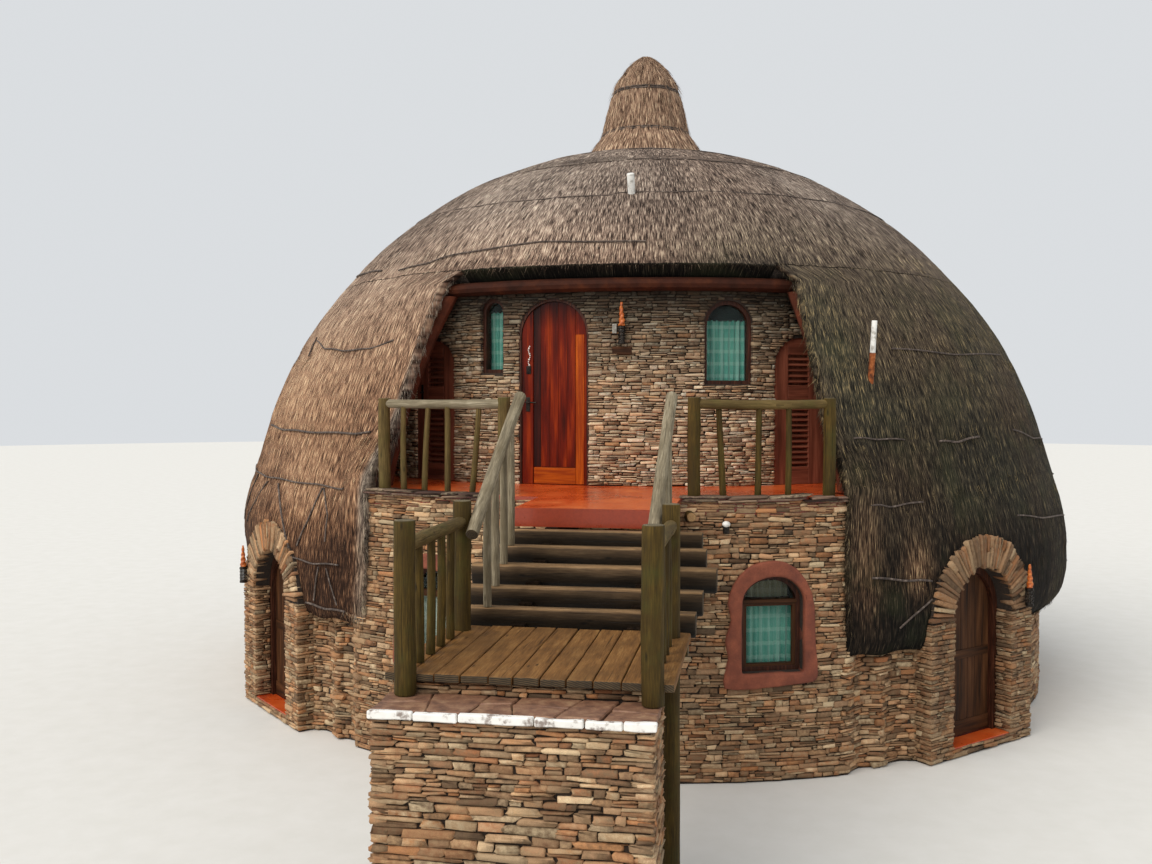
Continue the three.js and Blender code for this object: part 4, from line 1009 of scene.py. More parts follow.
# %% Poles and wires that hold the thatch
# Each is a line of azimuths and heights on the coat
SWAYS = [
    [(-62, 5.66), (-52, 5.64), (-44.7, 5.61)], [(-38.2, 5.56), (-31.1, 5.62), (-25.8, 5.7), (-10, 5.78), (6, 5.74)],
    [(-51.6, 4.7), (-46, 4.58), (-39.9, 4.53), (-33.3, 4.53), (-29.0, 4.62)], [(-53, 4.75), (-51.8, 4.5)],
    [(-59.3, 3.58), (-50, 3.54), (-41.4, 3.53), (-33.0, 3.53), (-27.6, 3.54)],
    [(-66, 3.0), (-60, 2.95), (-52, 2.93), (-44.8, 2.93), (-35.5, 2.92), (-29.2, 2.89)],
    [(-57, 2.92), (-60, 2.5), (-60.5, 2.3)], [(-50.2, 2.87), (-54, 2.55), (-57, 2.3)],
    [(-45.7, 2.87), (-41.6, 2.46), (-38.5, 2.06)], [(-34.3, 2.89), (-35.8, 2.5), (-37.3, 2.2)],
    [(-34.1, 2.89), (-32.1, 2.6), (-31.8, 2.3)], [(-38.3, 2.05), (-33.8, 2.03), (-29.2, 2.06)],
    [(-35.6, 1.55), (-31.9, 1.53), (-28.4, 1.54)], [(-32.7, 2.0), (-33.8, 1.6)], [(-31.3, 2.0), (-29.6, 1.6)],
    [(28.9, 3.5), (32.4, 3.5), (36.0, 3.49)], [(41.4, 3.46), (44.6, 3.45), (49, 3.5)],
    [(28.9, 2.78), (32.6, 2.79), (36.8, 2.82)], [(52.8, 2.58), (59.9, 2.5), (72.4, 2.42)],
    [(32.5, 1.52), (36.6, 1.8)], [(29.1, 2.07), (33.4, 2.02), (36.6, 1.99)],
    [(58.5, 3.56), (66, 3.44), (75, 3.4)], [(38, 4.5), (50, 4.46), (66, 4.5)],
    [(80, 2.9), (100, 2.88), (124, 2.92)], [(128, 3.6), (150, 3.55), (176, 3.6)],
    [(182, 2.7), (205, 2.66), (232, 2.7)], [(238, 3.7), (262, 3.66), (286, 3.62)],
    [(90, 4.6), (130, 4.52), (180, 4.6)], [(190, 4.55), (230, 4.5), (280, 4.6)],
    [(240, 2.2), (262, 2.16), (280, 2.2)], [(78, 1.75), (104, 1.7), (140, 1.74)],
    [(150, 1.75), (190, 1.7), (226, 1.74)],
]
CROWN_RINGS = [6.45, 7.05, 7.42]


def rod(total, points, radius):
    """Adds a round rod along a line of points, made from a bevelled curve."""
    curve = bpy.data.curves.new("rod", "CURVE")
    curve.dimensions = "3D"
    curve.bevel_depth, curve.bevel_resolution = radius, 1
    curve.use_fill_caps = True
    spline = curve.splines.new("POLY")
    spline.points.add(len(points) - 1)
    for point, place in zip(spline.points, points):
        point.co = (*place, 1)
    holder = bpy.data.objects.new("rod", curve)
    mesh = bpy.data.meshes.new_from_object(holder)
    total.from_mesh(mesh)
    bpy.data.objects.remove(holder)
    bpy.data.meshes.remove(mesh)


def sway_line(marks, lift=0.026):
    marks = np.array(marks, float)
    share = np.linspace(0, len(marks) - 1, 12 * len(marks))
    azimuth = np.interp(share, range(len(marks)), marks[:, 0])
    height = np.interp(share, range(len(marks)), marks[:, 1]) + 0.006 * np.sin(share * 5)
    return on_dome(azimuth, arc_at(height), lift + cushion(azimuth, height) - drawn_in(azimuth, height))


sway_wood = bmesh.new()
for index, marks in enumerate(SWAYS):
    rod(sway_wood, sway_line(marks), 0.010 if index % 4 else 0.013)
for ring, height in enumerate(CROWN_RINGS):
    marks = [(a, height + 0.03 * math.sin(a * 0.05 + ring)) for a in range(0, 361, 12)]
    rod(sway_wood, sway_line(marks, 0.02), 0.008)
print("sways:", len(SWAYS), "poles and wires,", len(CROWN_RINGS), "rings round the crown")
weathered_pole = streaked(
    "weathered_pole", 0.85, (24, 5), (0.01, 0.8), (0.3, "261f1b"), (0.55, "584b43"), (0.8, "9a8b7e"),
)
show("thatch_sways", sway_wood, weathered_pole, slot="dark_timber", smooth=True)

# %% [markdown]
# ## The topknot
# The bundles of the crown are gathered into a tall bell-shaped knot, wrapped with more grass and tied. It is one
# more combed skin on its own curve, with tufts and two ties.

# %% Topknot
knot_radius, knot_height, knot_arc = smooth_curve([
    (0.9, 7.6), (0.83, 7.72), (0.66, 8.0), (0.57, 8.34), (0.49, 8.68), (0.3, 8.97), (0.1, 9.17), (0.012, 9.2),
])
KNOT_END, KNOT_STRAWS = float(knot_arc[-1]), 1500
KNOT_TIES = [np.interp(height, knot_height, knot_arc) for height in (7.98, 8.62)]


def on_knot(azimuth, arc, lift):
    return revolved(azimuth, np.interp(arc, knot_arc, knot_radius) + lift, np.interp(arc, knot_arc, knot_height))


def knot_lift(azimuth, arc):
    turns = azimuth / 360
    lumps = 0.02 * ripple(turns * 44, arc / 0.4, 44, 51) + 0.012 * ripple(turns * 110, arc / 0.2, 110, 52)
    waist = sum(0.03 * np.exp(-(((arc - tie) / 0.05) ** 2)) for tie in KNOT_TIES)
    return (lumps + 0.01) * np.clip((KNOT_END - arc) / 0.3, 0, 1) - waist


def knot_tone(arc, share):
    return np.stack(np.broadcast_arrays(0.3 + 0.3 * share, 0.4 + 0 * arc, 0.12), -1)


knot_skin = skin(
    "topknot_skin", 180, 24, lambda u, v: on_knot(u * 360, v * KNOT_END, knot_lift(u * 360, v * KNOT_END)),
    lambda u, v: knot_tone(v, 0.5), lambda u, v: (np.radians(u * 360) * 0.6, v * KNOT_END),
)
show("thatch_topknot_skin", knot_skin, combed_thatch, slot="topknot_grass", stands_for=["thatch_topknot"])

lottery = np.random.default_rng(53)
azimuth = lottery.uniform(0, 360, KNOT_STRAWS)
arc = KNOT_END * lottery.uniform(0.06, 0.97, KNOT_STRAWS) ** 0.9
lift = knot_lift(azimuth, arc)
root = on_knot(azimuth, arc, lift)
knot_places = frames(
    root, on_knot(azimuth, arc - 0.05, lift) - root, on_knot(azimuth, arc, lift + 1) - root,
    lottery.normal(0, 0.12, KNOT_STRAWS),
    *(lottery.uniform(*span, KNOT_STRAWS) for span in ((0.03, 0.16), (0.1, 0.26), (0.006, 0.016))),
    np.full(KNOT_STRAWS, 0.006),
)
build_straws("topknot_straw", (knot_places, knot_tone(arc, lottery.random(KNOT_STRAWS))))

knot_ties = bmesh.new()
angle = np.linspace(0, 360, 49)
for tie in KNOT_TIES:
    for strand in (-0.016, 0.016):
        arc = np.full(49, tie)
        rod(knot_ties, on_knot(angle, arc + strand, knot_lift(angle, arc) + 0.008), 0.013)
show("topknot_ties", knot_ties, weathered_pole, slot="dark_timber", smooth=True)

# %% [markdown]
# ## Logs, planks and their grain
# The stair, the landing and all rails are peeled logs. A log starts as a cone with a few rings of points, which
# are pushed into a slight bend, flats and knots, and its ends are rounded with a bevel. Each face gets a
# place on the wood's own map, along the grain and around it, so that streaks run the right way on any log.

# %% Wood helpers
def join(total, part, matrix=None):
    """Adds a finished part to a larger mesh."""
    if matrix is not None:
        part.transform(matrix)
    mesh = bpy.data.meshes.new("part")
    part.to_mesh(mesh)
    part.free()
    total.from_mesh(mesh)
    bpy.data.meshes.remove(mesh)


def joined(*parts, at=None):
    """One mesh of several parts, all placed alike."""
    total = wood()
    for part in parts:
        join(total, part, at)
    return total


def wood():
    bm = bmesh.new()
    bm.loops.layers.uv.new("grain")
    return bm


def box(low, high, bevel=0.0, cuts=0):
    bm = wood()
    ops.create_cube(bm, size=1)
    low, high = Vector(low), Vector(high)
    size = high - low
    ops.scale(bm, vec=size, verts=bm.verts)
    ops.translate(bm, vec=(low + high) / 2, verts=bm.verts)
    if cuts:
        long = max(range(3), key=lambda k: size[k])
        ops.subdivide_edges(bm, edges=edges_along(bm, long, size[long] * 0.9), cuts=cuts)
    if bevel:
        soften(bm, sharp_edges(bm), bevel, 2)
    return bm


def flat_grain(bm, axis):
    """Maps a sawn board: the grain runs along one axis, and its ends show end grain."""
    grain = bm.loops.layers.uv.verify()
    start = rng.uniform(0, 40, 2)
    first, second = [k for k in range(3) if k != axis]
    bm.normal_update()
    for face in bm.faces:
        end = abs(face.normal[axis]) > 0.75
        face.material_index = 1 if end else 0
        across = second if abs(face.normal[first]) > abs(face.normal[second]) else first
        for loop in face.loops:
            co = loop.vert.co
            loop[grain].uv = (co[first], co[second]) if end else (co[across] + start[0], co[axis] + start[1])
    return bm


def board(low, high, axis, bevel=0.003):
    return flat_grain(box(low, high, bevel), axis)


def roughen(bm, amount, scale=6.0):
    seed = Vector(rng.uniform(0, 90, 3))
    for vertex in bm.verts:
        vertex.co += noise.noise_vector(vertex.co * scale + seed) * amount
    return bm


def log(start, end, radius, end_radius=None, rings=9, sides=14, bend=0.01, knots=3, shape=(1, 1), bark=0):
    """A peeled log between two points, with a map of its grain."""
    start, end = Vector(start), Vector(end)
    length = (end - start).length
    bm = wood()
    end_radius = end_radius or radius * 0.94
    ops.create_cone(bm, cap_ends=True, segments=sides, radius1=radius, radius2=end_radius, depth=length)
    rims = [e for e in bm.edges if abs(e.verts[0].co.z - e.verts[1].co.z) < 1e-6]
    soften(bm, rims, radius * 0.14, 2)
    ops.subdivide_edges(bm, edges=edges_along(bm, 2, length * 0.6), cuts=rings)
    grain = bm.loops.layers.uv.verify()
    offset = rng.uniform(0, 40)
    bm.normal_update()
    for face in bm.faces:
        sawn = abs(face.normal.z) > 0.9
        face.material_index = 1 if sawn else bark
        middle = face.calc_center_median()
        about = math.atan2(middle.y, middle.x)
        for loop in face.loops:
            co = loop.vert.co
            around = about + (math.atan2(co.y, co.x) - about + math.pi) % math.tau - math.pi
            loop[grain].uv = (co.x, co.y) if sawn else (around * radius + offset, co.z + offset)
    lean = rng.uniform(0, math.tau)
    knot = lambda: (rng.uniform(0, 6.28), rng.uniform(-0.42, 0.42) * length, rng.uniform(0.08, 0.2))
    bumps = [knot() for _ in range(knots)]
    seed = Vector(rng.uniform(0, 90, 3))
    for vertex in bm.verts:
        angle, z = math.atan2(vertex.co.y, vertex.co.x), vertex.co.z
        swell = 1 + 0.07 * noise.noise(Vector((math.cos(angle), math.sin(angle), z * 1.6)) + seed)
        for turned, height, size in bumps:
            gap = (angle - turned + math.pi) % math.tau - math.pi
            swell += size * math.exp(-(gap / 0.5) ** 2 - ((z - height) / (radius * 0.8)) ** 2)
        bow = bend * math.cos(math.pi * z / length)
        vertex.co.x = vertex.co.x * swell * shape[0] + bow * math.cos(lean)
        vertex.co.y = vertex.co.y * swell * shape[1] + bow * math.sin(lean)
    bm.transform(Matrix.Translation((start + end) / 2) @ (end - start).to_track_quat("Z", "Y").to_matrix().to_4x4())
    return bm


def peg(start, end, radius, end_radius=None, rings=1, sides=12, bend=0, **rest):
    """A short round bar without knots."""
    return log(start, end, radius, end_radius or radius, rings, sides, bend, 0, **rest)


def pole(start, end, radius, end_radius, bend, knots=2):
    """A thin straight pole, as the balusters are."""
    return log(start, end, radius, end_radius, sides=10, bend=bend, knots=knots)


def cut_through(bm, point, normal):
    """Cuts off what lies beyond a plane, and gives back the edges around the cut."""
    whole = [*bm.verts, *bm.edges, *bm.faces]
    cut = ops.bisect_plane(bm, geom=whole, plane_co=point, plane_no=normal, clear_outer=True)["geom_cut"]
    return [item for item in cut if isinstance(item, bmesh.types.BMEdge)]


def move_points(bm, items, vec):
    ops.translate(bm, vec=vec, verts=[item for item in items if isinstance(item, bmesh.types.BMVert)])


# %% Wood finishes
def wood_finish(name, dark, mid, light, streak, roughness=0.75, moss=None, shade_by_facing=False):
    """Weathered wood: long streaks along the grain, darker checks, a bloom of moss, and painted shade on faces that
    turn down.
    """
    finish = Finish(name, roughness, Specular_IOR_Level=0.2)
    line = finish.map("grain")
    fibres = finish.noise(1, 5, (110, 6, 1), line, roughness=0.7)
    bands = finish.noise(1, 3, (16, 1.4, 1), line)
    share = finish.scaled(fibres, 0.6, finish.scaled(bands, 0.5, -0.05))
    checks = finish.ramp(finish.noise(1, 2, (60, 1.2, 1), line), (0.3, 0.35), (0.36, 1.0))
    colour = finish.shaded(finish.ramp(share, (0.3, dark), (0.52, mid), (0.75, light)), checks)
    knots = finish.cells(1, finish.stretched((9, 2.6, 1), line))
    colour = finish.shaded(colour, knots, (0.04, 0.2), (0.11, 1.0))
    colour = finish.mix(finish.ramp(finish.noise(2.3, 5), (0.45, 0.0), (0.7, 0.75)), colour, streak)
    if moss:
        colour = finish.mix(finish.ramp(finish.noise(5, 6), (0.5, 0.0), (0.75, 0.6)), colour, moss)
    # Painted shade: the fronts are darkened and the undersides nearly black, by the way each face turns.
    if shade_by_facing:
        facing = finish.scaled(finish.upward(finish.normal()), 0.5, 0.5)
        colour = finish.shaded(colour, facing, (0.25, 0.02), (0.46, 0.09), (0.64, 0.5), (0.82, 1.0))
    finish.bump(fibres, 0.004, 0.8)
    finish.bump(checks, 0.006, 0.5)
    return finish.done(colour)


def end_finish(name, dark, light):
    """Sawn end of a log: growth rings and radial checks around its heart."""
    finish = Finish(name, 0.85)
    rings = finish.add("TexWave", Vector=finish.map("grain"), Scale=24, Distortion=2.5, Detail=3)
    rings.wave_type, rings.rings_direction = "RINGS", "SPHERICAL"
    colour = finish.ramp(rings.outputs["Fac"], (0.1, dark), (0.9, light))
    finish.bump(rings.outputs["Fac"], 0.002, 0.6)
    return finish.done(finish.mix(finish.ramp(finish.noise(18, 5), (0.4, 0.0), (0.7, 0.6)), colour, dark))


olive_log = wood_finish("olive_log", "1f170a", "473712", "735a26", "37290e", moss="43421a")
brown_log = wood_finish("brown_log", "2b2010", "62502c", "937c4e", "48391c", moss="504c22")
pale_log = wood_finish("pale_grey_log", "3b3427", "867a63", "c4b9a1", "61553f")
# Painted shade on the treads: darker fronts and near black undersides.
wet_log = wood_finish("wet_tread_log", "3b2b19", "8a6b48", "bf9e74", "5f4930", roughness=0.55, shade_by_facing=True)
deck_wood = wood_finish("wet_deck_board", "452d16", "80592f", "ab8450", "5c4022", roughness=0.5)
log_end = end_finish("log_end_grain", "3f3624", "7f7253")
dark_end = end_finish("dark_end_grain", "221a10", "5a482e")
tan_end = end_finish("tan_end_grain", "7a5a38", "c09a68")

# %% [markdown]
# ## Rails, posts and balusters
# Posts carry the level rails of the landing and the veranda, and one sloping log on each side climbs with the
# stair. Thin straight poles fill the gaps, and a few of them lean, as they do on the real house.

# %% Veranda rails
RAIL_Z, LIFT = 3.89, 0.001
FOOTED = FLOOR + LIFT


def veranda_rail(side, newel, end, feet, lean, finish, rail_finish):
    depth_at = lambda x: newel[1] + (end[1] - newel[1]) * (x - newel[0]) / (end[0] - newel[0])
    total = joined(
        log((*newel, FOOTED), (*newel, RAIL_Z + 0.07), 0.068, 0.066, bend=0.004),
        log((*end, FOOTED), (*end, RAIL_Z + 0.06), 0.068, 0.064, bend=0.006),
        log((*newel, RAIL_Z), (*end, RAIL_Z), 0.051, 0.047, rings=16, bend=0.012, knots=5, bark=2),
        *(pole((x, depth_at(x), FOOTED), (x + top, depth_at(x), RAIL_Z), 0.034, 0.03, 0.008)
          for x, top in zip(feet, lean)),
    )
    name = "veranda_rail_" + side
    show(name, total, finish, log_end, rail_finish, slot="brown_log", stands_for=[name], smooth=True)


veranda_rail(
    "left", (-0.9, -5.7), (-2.33, -5.39), (-1.27, -1.56, -1.84, -2.09), (0.08, 0.0, 0.05, 0.0), brown_log, pale_log,
)
veranda_rail("right", (1.11, -5.79), (2.48, -5.33), (1.4, 1.75, 2.06), (-0.05, 0.01, 0.0), olive_log, brown_log)

# %% Stair rails and landing rails
# Top, left end, right end and thickness of each tread, from the floor down
TREADS = [
    (2.757, -0.69, 1.28, 0.11), (2.65, -0.64, 1.33, 0.115), (2.528, -0.66, 1.43, 0.13),
    (2.385, -0.65, 1.33, 0.115), (2.262, -0.62, 1.29, 0.11),
]
tread_front = lambda index: -7.44 - 0.28 * index
slope_z = lambda y: 2.93 + (y + 8.89) * (3.94 - 2.93) / (8.89 - 7.25)
for side, x in (("left", -0.387), ("right", 0.997)):
    balusters = [(tread_front(index) + 0.11, tread[0] + LIFT) for index, tread in enumerate(TREADS[1:], 1)]
    total = joined(
        log((x, -8.93, 2.905), (x, -7.21, 3.965), 0.05, 0.053, rings=18, bend=0.006, knots=7),
        *(pole((x, y, z), (x, y, slope_z(y)), 0.034, 0.031, 0.004) for y, z in balusters),
    )
    name = "stair_rail_" + side
    show(name, total, pale_log, dark_end, slot="pale_log", stands_for=[name], smooth=True)
for side, x in (("left", -0.51), ("right", 1.12)):
    total = joined(
        log((x, -10.16, 2.001), (x, -10.16, 3.15), 0.074, 0.072, bend=0.003, knots=2),
        log((x, -8.76, 0.0), (x, -8.76, 3.15), 0.074, 0.07, rings=14, bend=0.004),
        log((x, -10.17, 2.985), (x, -8.75, 2.985), 0.051, 0.048, rings=14, bend=0.005, knots=6, bark=2),
        *(pole((x, y, 2.141), (x + rng.uniform(-0.01, 0.01), y, 2.985), 0.034, 0.031, 0.006)
          for y in (-9.85, -9.6, -9.35, -9.1)),
    )
    name = "landing_rail_" + side
    show(name, total, olive_log, log_end, brown_log, slot="brown_log", stands_for=[name], smooth=True)

# %% [markdown]
# ## Treads, deck and carriages
# Each tread is one stout log, mostly round, with a narrow flat worked on its top: the log is cut level with a
# bisect plane and closed again. The deck's eleven planks run towards the entry, with narrow gaps between them.

# %% Treads
for index, (top, left, right, thick) in enumerate(TREADS):
    middle = tread_front(index) + 0.1375
    shape = (thick * 0.6 / 0.14, 1)
    tread = log((left, middle, 0), (right, middle, 0), 0.14, 0.14, 18, 20, 0.006, 6, shape)
    tread.transform(Matrix.Translation((0, 0, top - thick * 0.54)))
    rim = cut_through(tread, (0, 0, top), (0, 0, 1))
    grain = tread.loops.layers.uv.verify()
    for face in ops.edgeloop_fill(tread, edges=rim)["faces"]:
        face.material_index = 0
        for loop in face.loops:
            loop[grain].uv = (loop.vert.co.y + 5 * index, loop.vert.co.x)
    name = f"stair_tread_{index + 1}"
    show(name, tread, wet_log, dark_end, slot="deck_timber", stands_for=[name], smooth=True)

# %% Deck planks
deck = wood()
edges = np.linspace(-0.66, 1.26, 12) + np.r_[0, rng.uniform(-0.008, 0.008, 10), 0]
for left, right in zip(edges, edges[1:]):
    front = -10.15 - rng.uniform(-0.004, 0.014)
    top = 2.14 + rng.uniform(-0.003, 0.004)
    plank = box((left + 0.004, front, 2.087), (right - 0.004, -8.59, top), 0.009, cuts=10)
    join(deck, flat_grain(roughen(plank, 0.0035), 1))
show("landing_deck", deck, deck_wood, dark_end, slot="deck_timber", stands_for=["landing_deck"])
bearer = log((-0.64, -8.61, 2.02), (1.24, -8.61, 2.02), 0.062, 0.06, rings=14)
show("landing_bearer", bearer, olive_log, log_end, slot="brown_log", stands_for=["landing_bearer"], smooth=True)
# Painted shade: the stair carriages are near black, for the dark under the treads.
refinish(streaked(
    "sawn_timber", 0.9, (1, 5, (40, 6, 40)), (0.006, 0.7), (0.3, "0e0a07"), (0.6, "241a12"), (0.8, "382b1e"),
    Specular_IOR_Level=0.05,
), "stair_carriage")

# %% [markdown]
# ## Plaster, floors and step
# Around the ground windows the terracotta plaster was spread by hand, so its outline wavers. Two loops, the
# arch of the opening and the wavering outline, are bridged into a ring, which is given its thickness and soft
# edges, and is then bent around the wall. The floors are red polished concrete.

# %% Plaster finish
def plaster_finish(name, *tints, gloss=0.5):
    finish = Finish(name, 0.8, Specular_IOR_Level=gloss)
    trowel, grit = finish.noise(5, 6), finish.noise(70, 4)
    colour = finish.ramp(trowel, *zip((0.25, 0.5, 0.75), tints))
    finish.bump(trowel, 0.03, 0.6)
    finish.bump(grit, 0.003, 0.6)
    return finish.done(finish.shaded(colour, grit, (0.3, 0.8), (0.6, 1.0)))


terracotta = plaster_finish("terracotta_plaster", "5e2e20", "7e412c", "985338")
# Painted shade: the lintel and the legs get darker copies of the terracotta, for the shade under the brow.
refinish(
    plaster_finish("shaded_terracotta_plaster", "240f05", "3a190b", "542912", gloss=0.2), "veranda_lintel",
)
refinish(plaster_finish("shaded_leg_plaster", "3a1b0e", "562a19", "6f3822", gloss=0.2), "veranda_leg")

# %% Window surrounds
OUTLINE = [
    (0.0, 0.985), (-0.2, 0.972), (-0.404, 0.968), (-0.51, 0.985), (-0.523, 1.06), (-0.508, 1.16), (-0.47, 1.29),
    (-0.49, 1.4), (-0.499, 1.488), (-0.462, 1.6), (-0.448, 1.692), (-0.462, 1.76), (-0.48, 1.846),
    (-0.465, 1.93), (-0.43, 2.03), (-0.36, 2.14), (-0.25, 2.235), (-0.12, 2.28), (0.0, 2.292), (0.12, 2.27),
    (0.25, 2.2), (0.35, 2.08), (0.41, 1.94), (0.44, 1.8), (0.45, 1.6), (0.455, 1.4), (0.47, 1.25), (0.48, 1.12),
    (0.47, 1.045), (0.42, 1.02), (0.2, 1.0),
]
RING_POINTS, WINDOW_HALF, WINDOW_SILL = 96, 0.33, 1.128


def resample(points, count):
    points = np.array([*points, points[0]])
    lengths = path_lengths(points)
    share = np.linspace(0, lengths[-1], count, endpoint=False)
    return np.c_[np.interp(share, lengths, points[:, 0]), np.interp(share, lengths, points[:, 1])]


def surround(side, azimuth, flip):
    angles = np.linspace(math.pi / 2, -math.pi / 2, 24)
    arch = [(math.sin(a) * -WINDOW_HALF, 1.85 + 0.272 * math.cos(a)) for a in angles]
    inner = [(0, WINDOW_SILL), (-WINDOW_HALF, WINDOW_SILL), *arch, (WINDOW_HALF, WINDOW_SILL)]
    bm = bmesh.new()
    for outline in (OUTLINE, inner):
        made = ops.create_circle(bm, segments=RING_POINTS, radius=1)["verts"]
        for vertex, (x, z) in zip(made, resample(outline, RING_POINTS)):
            vertex.co = (x * flip, 0, z)
    ops.bridge_loops(bm, edges=bm.edges)
    ops.subdivide_edges(bm, edges=[e for e in bm.edges if len(e.link_faces) == 2], cuts=3)
    move_points(bm, ops.extrude_face_region(bm, geom=bm.faces)["geom"], (0, -0.14, 0))
    ops.recalc_face_normals(bm, faces=bm.faces)
    soften(bm, [e for e in sharp_edges(bm) if max(v.co.y for v in e.verts) < -0.1], 0.022, 3)
    roughen(bm, 0.009, 5)
    for vertex in bm.verts:
        x, y, z = vertex.co
        radius, a = 5.862 - y, x / 5.95
        vertex.co = (radius * math.sin(a), -radius * math.cos(a), z)
    bm.transform(turn(azimuth))
    name = "window_surround_" + side
    show(name, bm, terracotta, slot="terracotta_plaster", stands_for=[name], smooth=True)


for (side, azimuth), flip in zip(GROUND_WINDOWS.items(), (-1, 1)):
    surround(side, azimuth, flip)


# %% Polished floors, step slab and painted nose
def floor_finish():
    finish = Finish("red_polished_concrete", 0.25, Coat_Weight=0.3, Coat_Roughness=0.2)
    wear, fine = finish.noise(2.2, 6), finish.noise(45, 4)
    level = finish.ramp(wear, (0.3, "a8360f"), (0.5, "d0521c"), (0.75, "e47436"))
    upright = finish.ramp(finish.upward(finish.normal()), (0.2, 1.0), (0.6, 0.0))
    colour = finish.shaded(finish.mix(upright, level, "98381b"), fine, (0.3, 0.8), (0.6, 1.0))
    finish.bump(fine, 0.0015, 0.5)
    return finish.done(colour, Roughness=finish.ramp(wear, (0.3, 0.18), (0.7, 0.42)))


def flagstone_finish():
    finish = Finish("red_brown_flagstone", 0.6)
    veins, fine = finish.noise(9, 6), finish.noise(60, 5)
    colour = finish.ramp(veins, (0.3, "5a3e30"), (0.5, "825c45"), (0.75, "a68465"))
    finish.bump(veins, 0.01, 0.6)
    finish.bump(fine, 0.003, 0.7)
    return finish.done(finish.shaded(colour, fine, (0.3, 0.75), (0.6, 1.0)))


red_concrete = floor_finish()
refinish(red_concrete, "_floor")
white_paint = streaked(
    "worn_white_paint", 0.7, (11, 6), (0.006, 0.6), (0.36, "8d8078"), (0.46, "e6e3dd"), (0.8, "f6f4ef"),
)


def broken_slab(corners, bottom, top, gap=0.004, bevel=0.008):
    """A flat stone between four corners in plan: a box cut into smaller faces and drawn out to them."""
    bm = box((0, 0, bottom), (1, 1, top))
    level = [e for e in bm.edges if abs(e.verts[0].co.z - e.verts[1].co.z) < 1e-4]
    ops.subdivide_edges(bm, edges=level, cuts=2, use_grid_fill=True)
    corners = np.array(corners)
    for vertex in bm.verts:
        x, y, _ = vertex.co
        left, right = (side[0] * (1 - y) + side[1] * y for side in corners)
        spot = left * (1 - x) + right * x
        vertex.co.x, vertex.co.y = spot - gap * np.sign(spot - corners.mean((0, 1)))
    roughen(bm, 0.011, 7)
    soften(bm, sharp_edges(bm, 0.9), bevel)
    return bm


# The flagstones lie between marks on a jittered grid: two rows of stones, and two that take both rows
DEEP_STONES = (1, 4)
marks = np.stack(np.meshgrid(np.linspace(-0.635, 1.175, 7), (-10.5, -10.3, -10.085), indexing="ij"), -1)
marks[1:-1, :, 0] += rng.uniform(-0.09, 0.09, (5, 3))
marks[:, 1, 1] += rng.uniform(-0.05, 0.05, 7)
for column in DEEP_STONES:
    for edge in (column, column + 1):
        marks[edge, 1] = (marks[edge, 0] + marks[edge, 2]) / 2
step = bmesh.new()
for column in range(6):
    for part in [slice(None, None, 2)] if column in DEEP_STONES else [slice(0, 2), slice(1, 3)]:
        join(step, broken_slab(marks[column:column + 2, part], 1.952, 1.999 + rng.uniform(-0.004, 0.004)))
show("entry_step", step, flagstone_finish(), slot="ledge_stone", stands_for=["entry_step"])

NOSE_START, NOSE_END = -0.645, 1.185
nose, x = bmesh.new(), NOSE_START
while x < 1.16:
    width = min(rng.uniform(0.2, 0.5), NOSE_END - x)
    width = NOSE_END - x if NOSE_END - x - width < 0.1 else width
    join(nose, broken_slab([[(end, -10.545), (end, -10.49)] for end in (x, x + width)], 1.944, 1.996, 0.005, 0.007))
    x += width
show("painted_step_nose", nose, white_paint, slot="ledge_stone")

# %% [markdown]
# ## Doors
# The veranda door is polished mahogany: wide stiles, upright planks between them and a bright bottom rail, all
# under one round arch. The arch is a half disc with a rectangle extruded below it, and each board is a slice of
# it between two bisect planes. The narrow service doors have slats, and the ground doors plain boards.

# %% Arched boards
def arch_panel(half, bottom, spring, rise, front, back):
    bm = wood()
    made = ops.create_circle(bm, cap_ends=True, segments=48, radius=1)["verts"]
    ops.scale(bm, vec=(half, rise, 1), verts=made)
    ops.rotate(bm, matrix=Matrix.Rotation(math.pi / 2, 3, "X"), verts=made)
    cut_through(bm, (0, 0, 0), (0, 0, -1))
    base = [e for e in bm.edges if all(abs(v.co.z) < 1e-5 for v in e.verts)]
    move_points(bm, ops.extrude_edge_only(bm, edges=base)["geom"], (0, 0, bottom - spring))
    ops.remove_doubles(bm, verts=bm.verts, dist=1e-5)
    move_points(bm, ops.extrude_face_region(bm, geom=bm.faces)["geom"], (0, back - front, 0))
    ops.translate(bm, vec=(0, front, spring), verts=bm.verts)
    ops.recalc_face_normals(bm, faces=bm.faces)
    return bm


def slice_of(bm, x=None, z=None, bevel=0.003):
    """Keeps what lies between two planes across x and across z, closes the cuts and softens the edges."""
    for span, across in ((x, Vector((1, 0, 0))), (z, Vector((0, 0, 1)))):
        for at, way in zip(span or (), (-1, 1)):
            rim = cut_through(bm, across * at, across * way)
            if rim:
                ops.holes_fill(bm, edges=rim)
    ops.dissolve_limit(bm, angle_limit=0.01, verts=bm.verts, edges=bm.edges)
    ops.recalc_face_normals(bm, faces=bm.faces)
    soften(bm, sharp_edges(bm), bevel)
    return bm


def polished_finish(name, dark, mid, light, gloss, streaks=1.0):
    finish = Finish(name, gloss, Coat_Weight=0.03, Coat_Roughness=0.2, Specular_IOR_Level=0.14)
    line = finish.map("grain")
    fibres = finish.noise(1, 5, (70, 2.5, 1), line, roughness=0.65)
    flame = finish.noise(1, 3, (11, 0.9, 1), line)
    share = finish.scaled(fibres, 0.35, finish.scaled(flame, 0.8 * streaks, -0.1))
    finish.bump(fibres, 0.0012, 0.7)
    colour = finish.ramp(share, (0.3, dark), (0.5, mid), (0.72, light))
    # Painted shade: the top of every polished door is darkened under the brow.
    return finish.done(painted_brow_shade(finish, colour, (0.74, 1.0), (0.8, 0.6), (0.88, 0.16)))


